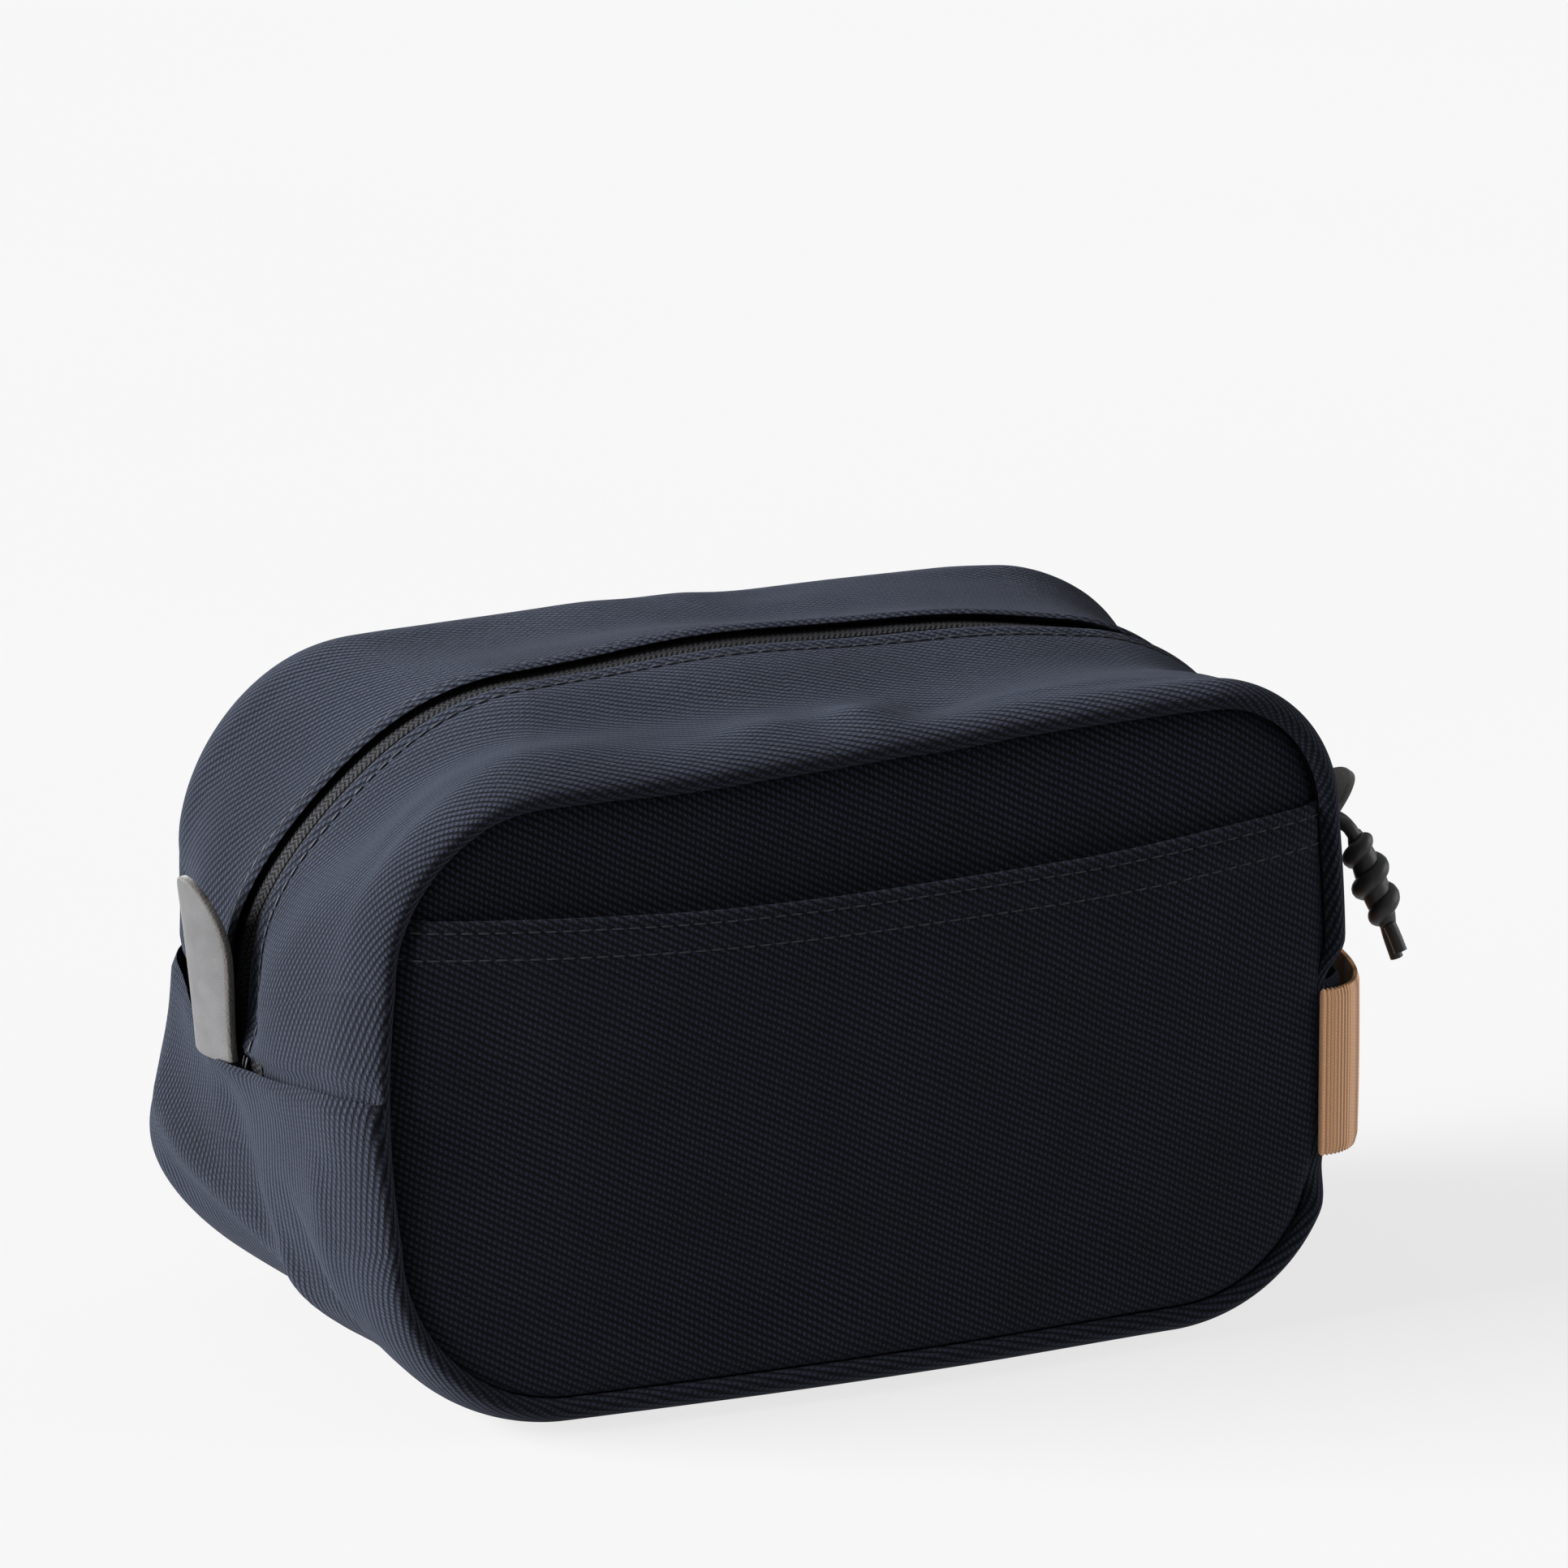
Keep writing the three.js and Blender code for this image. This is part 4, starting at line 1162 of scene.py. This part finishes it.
def prism(name, outline, thickness, bevel, place, material):
    """An outline cut from plate, its edges rounded, then placed. Lengths in millimetres."""
    count = len(outline)
    points = [(x * MM, y * MM, z * MM) for z in (0, thickness) for x, y in outline]
    faces = [tuple(range(count))[::-1], tuple(range(count, 2 * count))]
    faces += [(k, (k + 1) % count, count + (k + 1) % count, count + k) for k in range(count)]
    mesh = bpy.data.meshes.new(name)
    mesh.from_pydata(points, [], faces)
    blank = bpy.data.objects.new(name, mesh)
    bpy.context.scene.collection.objects.link(blank)
    rounding = blank.modifiers.new("rounded", "BEVEL")
    rounding.width = bevel * MM
    rounding.segments = 3
    rounding.limit_method = "ANGLE"
    rounding.angle_limit = math.radians(40)
    made = bpy.data.meshes.new_from_object(
        blank.evaluated_get(bpy.context.evaluated_depsgraph_get()))
    bpy.data.objects.remove(blank)
    made.transform(place)
    made.name = name
    made.materials.append(material)
    made.set_sharp_from_angle(angle=math.radians(35))
    piece = bpy.data.objects.new(name, made)
    bpy.context.scene.collection.objects.link(piece)
    return piece


def frame_at(origin, x_axis, y_axis):
    x_axis, y_axis = Vector(x_axis), Vector(y_axis)
    matrix = Matrix((x_axis, y_axis, x_axis.cross(y_axis))).transposed().to_4x4()
    matrix.translation = Vector(origin) * MM
    return matrix


def slider_outline(half_length, wide, narrow):
    """Wide at its shoulders and narrower at its tail, all corners rounded."""
    points = []
    for angle in np.linspace(0, 2 * math.pi, 40, endpoint=False):
        c, s = math.cos(angle), math.sin(angle)
        along = half_length * math.copysign(abs(s) ** 0.6, s)
        width = wide + (narrow - wide) * smooth(along, -half_length * 0.2, half_length * 0.9)
        points.append((width * math.copysign(abs(c) ** 0.6, c), along))
    return points


TOP_PLATE, UNDER_PLATE = 1.7, 1.3


def slider_parts():
    """Slider plates and keel, the bridge that the lace runs through, and the coil's two stops."""
    low, high = corner("slider", 0), corner("slider", 1)
    middle = (low + high) / 2
    half_length = (high[2] - low[2]) / 2
    half_width = (high[1] - low[1]) / 2
    top_outline = slider_outline(half_length, half_width, half_width * 0.72)
    upper = prism("slider_top_plate", top_outline, TOP_PLATE, 0.5,
                  frame_at((high[0] - TOP_PLATE, 0, middle[2]), (0, 1, 0), (0, 0, 1)), METAL)
    lower = prism("slider_under_plate", top_outline, UNDER_PLATE, 0.4,
                  frame_at((low[0], 0, middle[2]), (0, 1, 0), (0, 0, 1)), METAL)
    keel = prism("slider_keel", slider_outline(half_length * 0.4, 0.65, 0.4),
                 high[0] - low[0] - 1.6, 0.1,
                 frame_at((low[0] + 0.8, 0, middle[2] + 2), (0, 1, 0), (0, 0, 1)), METAL)
    for piece in (upper, lower, keel):
        carry(piece, "slider", ("slider",) if piece is upper else ())
    low, high = corner("slider_bridge", 0), corner("slider_bridge", 1)
    middle = (low + high) / 2
    width = high[1] - low[1]
    span = high[2] - low[2]
    rise = high[0] - low[0]
    arch = []
    for radius_z, radius_x, direction in ((span / 2, rise, 1), (span / 2 - 1.2, rise - 1.2, -1)):
        turn = np.linspace(0, math.pi, 21)[::direction]
        arch += [(radius_z * math.copysign(abs(math.cos(a)) ** 0.7, math.cos(a)),
                  radius_x * abs(math.sin(a)) ** 0.7) for a in turn]
    bridge = prism("slider_bridge_loop", arch, width, 0.3,
                   frame_at((low[0], high[1], middle[2]), (0, 0, 1), (1, 0, 0)), METAL)
    carry(bridge, "slider", ("slider_bridge",))
    for side, sign in (("left", -1), ("right", 1)):
        low, high = corner(f"zip_stop_{side}", 0), corner(f"zip_stop_{side}", 1)
        half = high - low
        staple = [(-half[1] / 2, 0), (half[1] / 2, 0), (half[1] / 2, half[2]),
                  (-half[1] / 2, half[2])]
        origin = (low[0], 0, low[2])
        stop = prism(f"zip_stop_{side}_staple", staple, half[0], 0.4,
                     frame_at(origin, (0, 1, 0), (0, 0, 1)), METAL)
        carry(stop, replaces=(f"zip_stop_{side}",))


slider_parts()


# ---- lace pull ----

LACE_DIAMETER = 3.2
LACE_EYE = np.array(joints["lace_swing"]["pos_m"]) / MM
KNOT_TURNS, KNOT_RADIUS, CORE_RADIUS = 2.6, 2.7, 3.4
END_SPREAD, END_LENGTH = 1.75, 7.4
KNOT_TOP = LACE_EYE + [16.0, -24, -2.2]
KNOT_END = LACE_EYE + [22.6, -29, -24.2]
LACE_WAY = np.array([
    KNOT_TOP + [1.0, 0.9, -1.8], KNOT_TOP + [-1.4, 3.2, 1.8], KNOT_TOP + [-5, 8.2, 3],
    LACE_EYE + [9.2, -8, -1.6],
    LACE_EYE + [7.4, -1, -0.4], LACE_EYE + [4.6, 5, 0], LACE_EYE + [0.8, 5.2, 0],
    LACE_EYE + [0, 1.7, 0], LACE_EYE + [0, -1.7, 0], LACE_EYE + [1.4, -6.2, -0.4],
    LACE_EYE + [5.2, -12.6, -2], KNOT_TOP + [-4.4, 3.6, 2.2], KNOT_TOP + [-1.4, 0.4, 1.2],
    KNOT_TOP + [0.3, -0.9, -1.8],
])


def smooth_line(points, steps):
    """A centripetal Catmull-Rom line through the points."""
    points = np.asarray(points, float)
    padded = np.concatenate([[2 * points[0] - points[1]], points, [2 * points[-1] - points[-2]]])
    line = []
    for k in range(1, len(padded) - 2):
        p = padded[k - 1:k + 3]
        knots = np.concatenate([[0], np.cumsum(np.linalg.norm(np.diff(p, axis=0), axis=1) ** 0.5)])
        for t in np.linspace(knots[1], knots[2], steps, endpoint=False):
            a = [(knots[j + 1] - t) / (knots[j + 1] - knots[j]) * p[j]
                 + (t - knots[j]) / (knots[j + 1] - knots[j]) * p[j + 1] for j in range(3)]
            b = [(knots[j + 2] - t) / (knots[j + 2] - knots[j]) * a[j]
                 + (t - knots[j]) / (knots[j + 2] - knots[j]) * a[j + 1] for j in range(2)]
            line.append((knots[2] - t) / (knots[2] - knots[1]) * b[0]
                        + (t - knots[1]) / (knots[2] - knots[1]) * b[1])
    return np.array(line + [points[-1]])


def tube(name, line, radius, sides, material, wobble=0.0):
    """A round solid along a line, closed at both ends. radius is one number or one a point."""
    line = np.asarray(line, float)
    radius = np.broadcast_to(radius, len(line))
    along = np.gradient(line, axis=0)
    along /= np.linalg.norm(along, axis=1)[:, None]
    side = np.cross(along[0], [0, 0, 1.0])
    if np.linalg.norm(side) < 1e-3:
        side = np.cross(along[0], [0, 1.0, 0])
    rings = []
    for k, direction in enumerate(along):
        side = side - direction * side.dot(direction)
        side /= np.linalg.norm(side)
        other = np.cross(direction, side)
        angle = np.linspace(0, 2 * math.pi, sides, endpoint=False)
        thick = radius[k] * (1 + wobble * np.sin(3 * angle + k * 0.21))
        rings.append(line[k] + np.outer(thick * np.cos(angle), side)
                     + np.outer(thick * np.sin(angle), other))
    return new_mesh(name, np.concatenate(rings), ring_faces(len(line), sides), None, material)


def lace_pull():
    """The lace doubled through the bridge, wound round itself, with two cut ends."""
    line = smooth_line(LACE_WAY, 12)
    radius = LACE_DIAMETER / 2
    axis = (KNOT_END - KNOT_TOP) / np.linalg.norm(KNOT_END - KNOT_TOP)
    length = np.linalg.norm(KNOT_END - KNOT_TOP)
    side = np.cross(axis, [0, 1.0, 0])
    side /= np.linalg.norm(side)
    other = np.cross(axis, side)

    run = np.linspace(0, 1, 150)
    swell = KNOT_RADIUS * np.sin(math.pi * (0.12 + 0.80 * run)) ** 0.45
    angle = 2 * math.pi * KNOT_TURNS * run + 0.6
    centre = KNOT_TOP + np.outer(2.2 + run * (length - 4.4), axis)
    wound = (centre + (swell * np.cos(angle))[:, None] * side
             + (swell * np.sin(angle))[:, None] * other)
    taper = np.sin(math.pi * (0.1 + 0.82 * run)) ** 0.3
    thick = radius * (1.58 + 0.12 * np.sin(angle * 0.5 + 1)) * taper
    knot = tube("lace_knot_turns", wound, thick, 16, LACE, 0.03)
    share = np.linspace(0, 1, 24)
    core = tube("lace_knot_core", KNOT_TOP + np.outer(share * 0.97 * length, axis),
                CORE_RADIUS * np.sin(math.pi * (0.06 + 0.84 * share)) ** 0.5, 14, LACE)
    ends = []
    foot = KNOT_TOP + axis * (length - 1.0)
    for which, sign in (("front", -1), ("back", 1)):
        aside = sign * END_SPREAD * np.cross(axis, np.cross([0, 1.0, 0], axis))
        points = [foot + aside * 0.6, foot + aside + axis * 3,
                  foot + aside * 1.15 + axis * (END_LENGTH + sign * 0.9)]
        ends.append(tube(f"lace_end_{which}_cut", smooth_line(points, 8), radius * 0.95, 14, LACE))

    lace = tube("lace_loop_cord", line, radius, 14, LACE)
    for piece, nodes in ((lace, ("lace_loop",)), (knot, ("lace_knot",)), (core, ()),
                         (ends[0], ("lace_end_front",)), (ends[1], ("lace_end_back",))):
        carry(piece, "lace", nodes)


lace_pull()
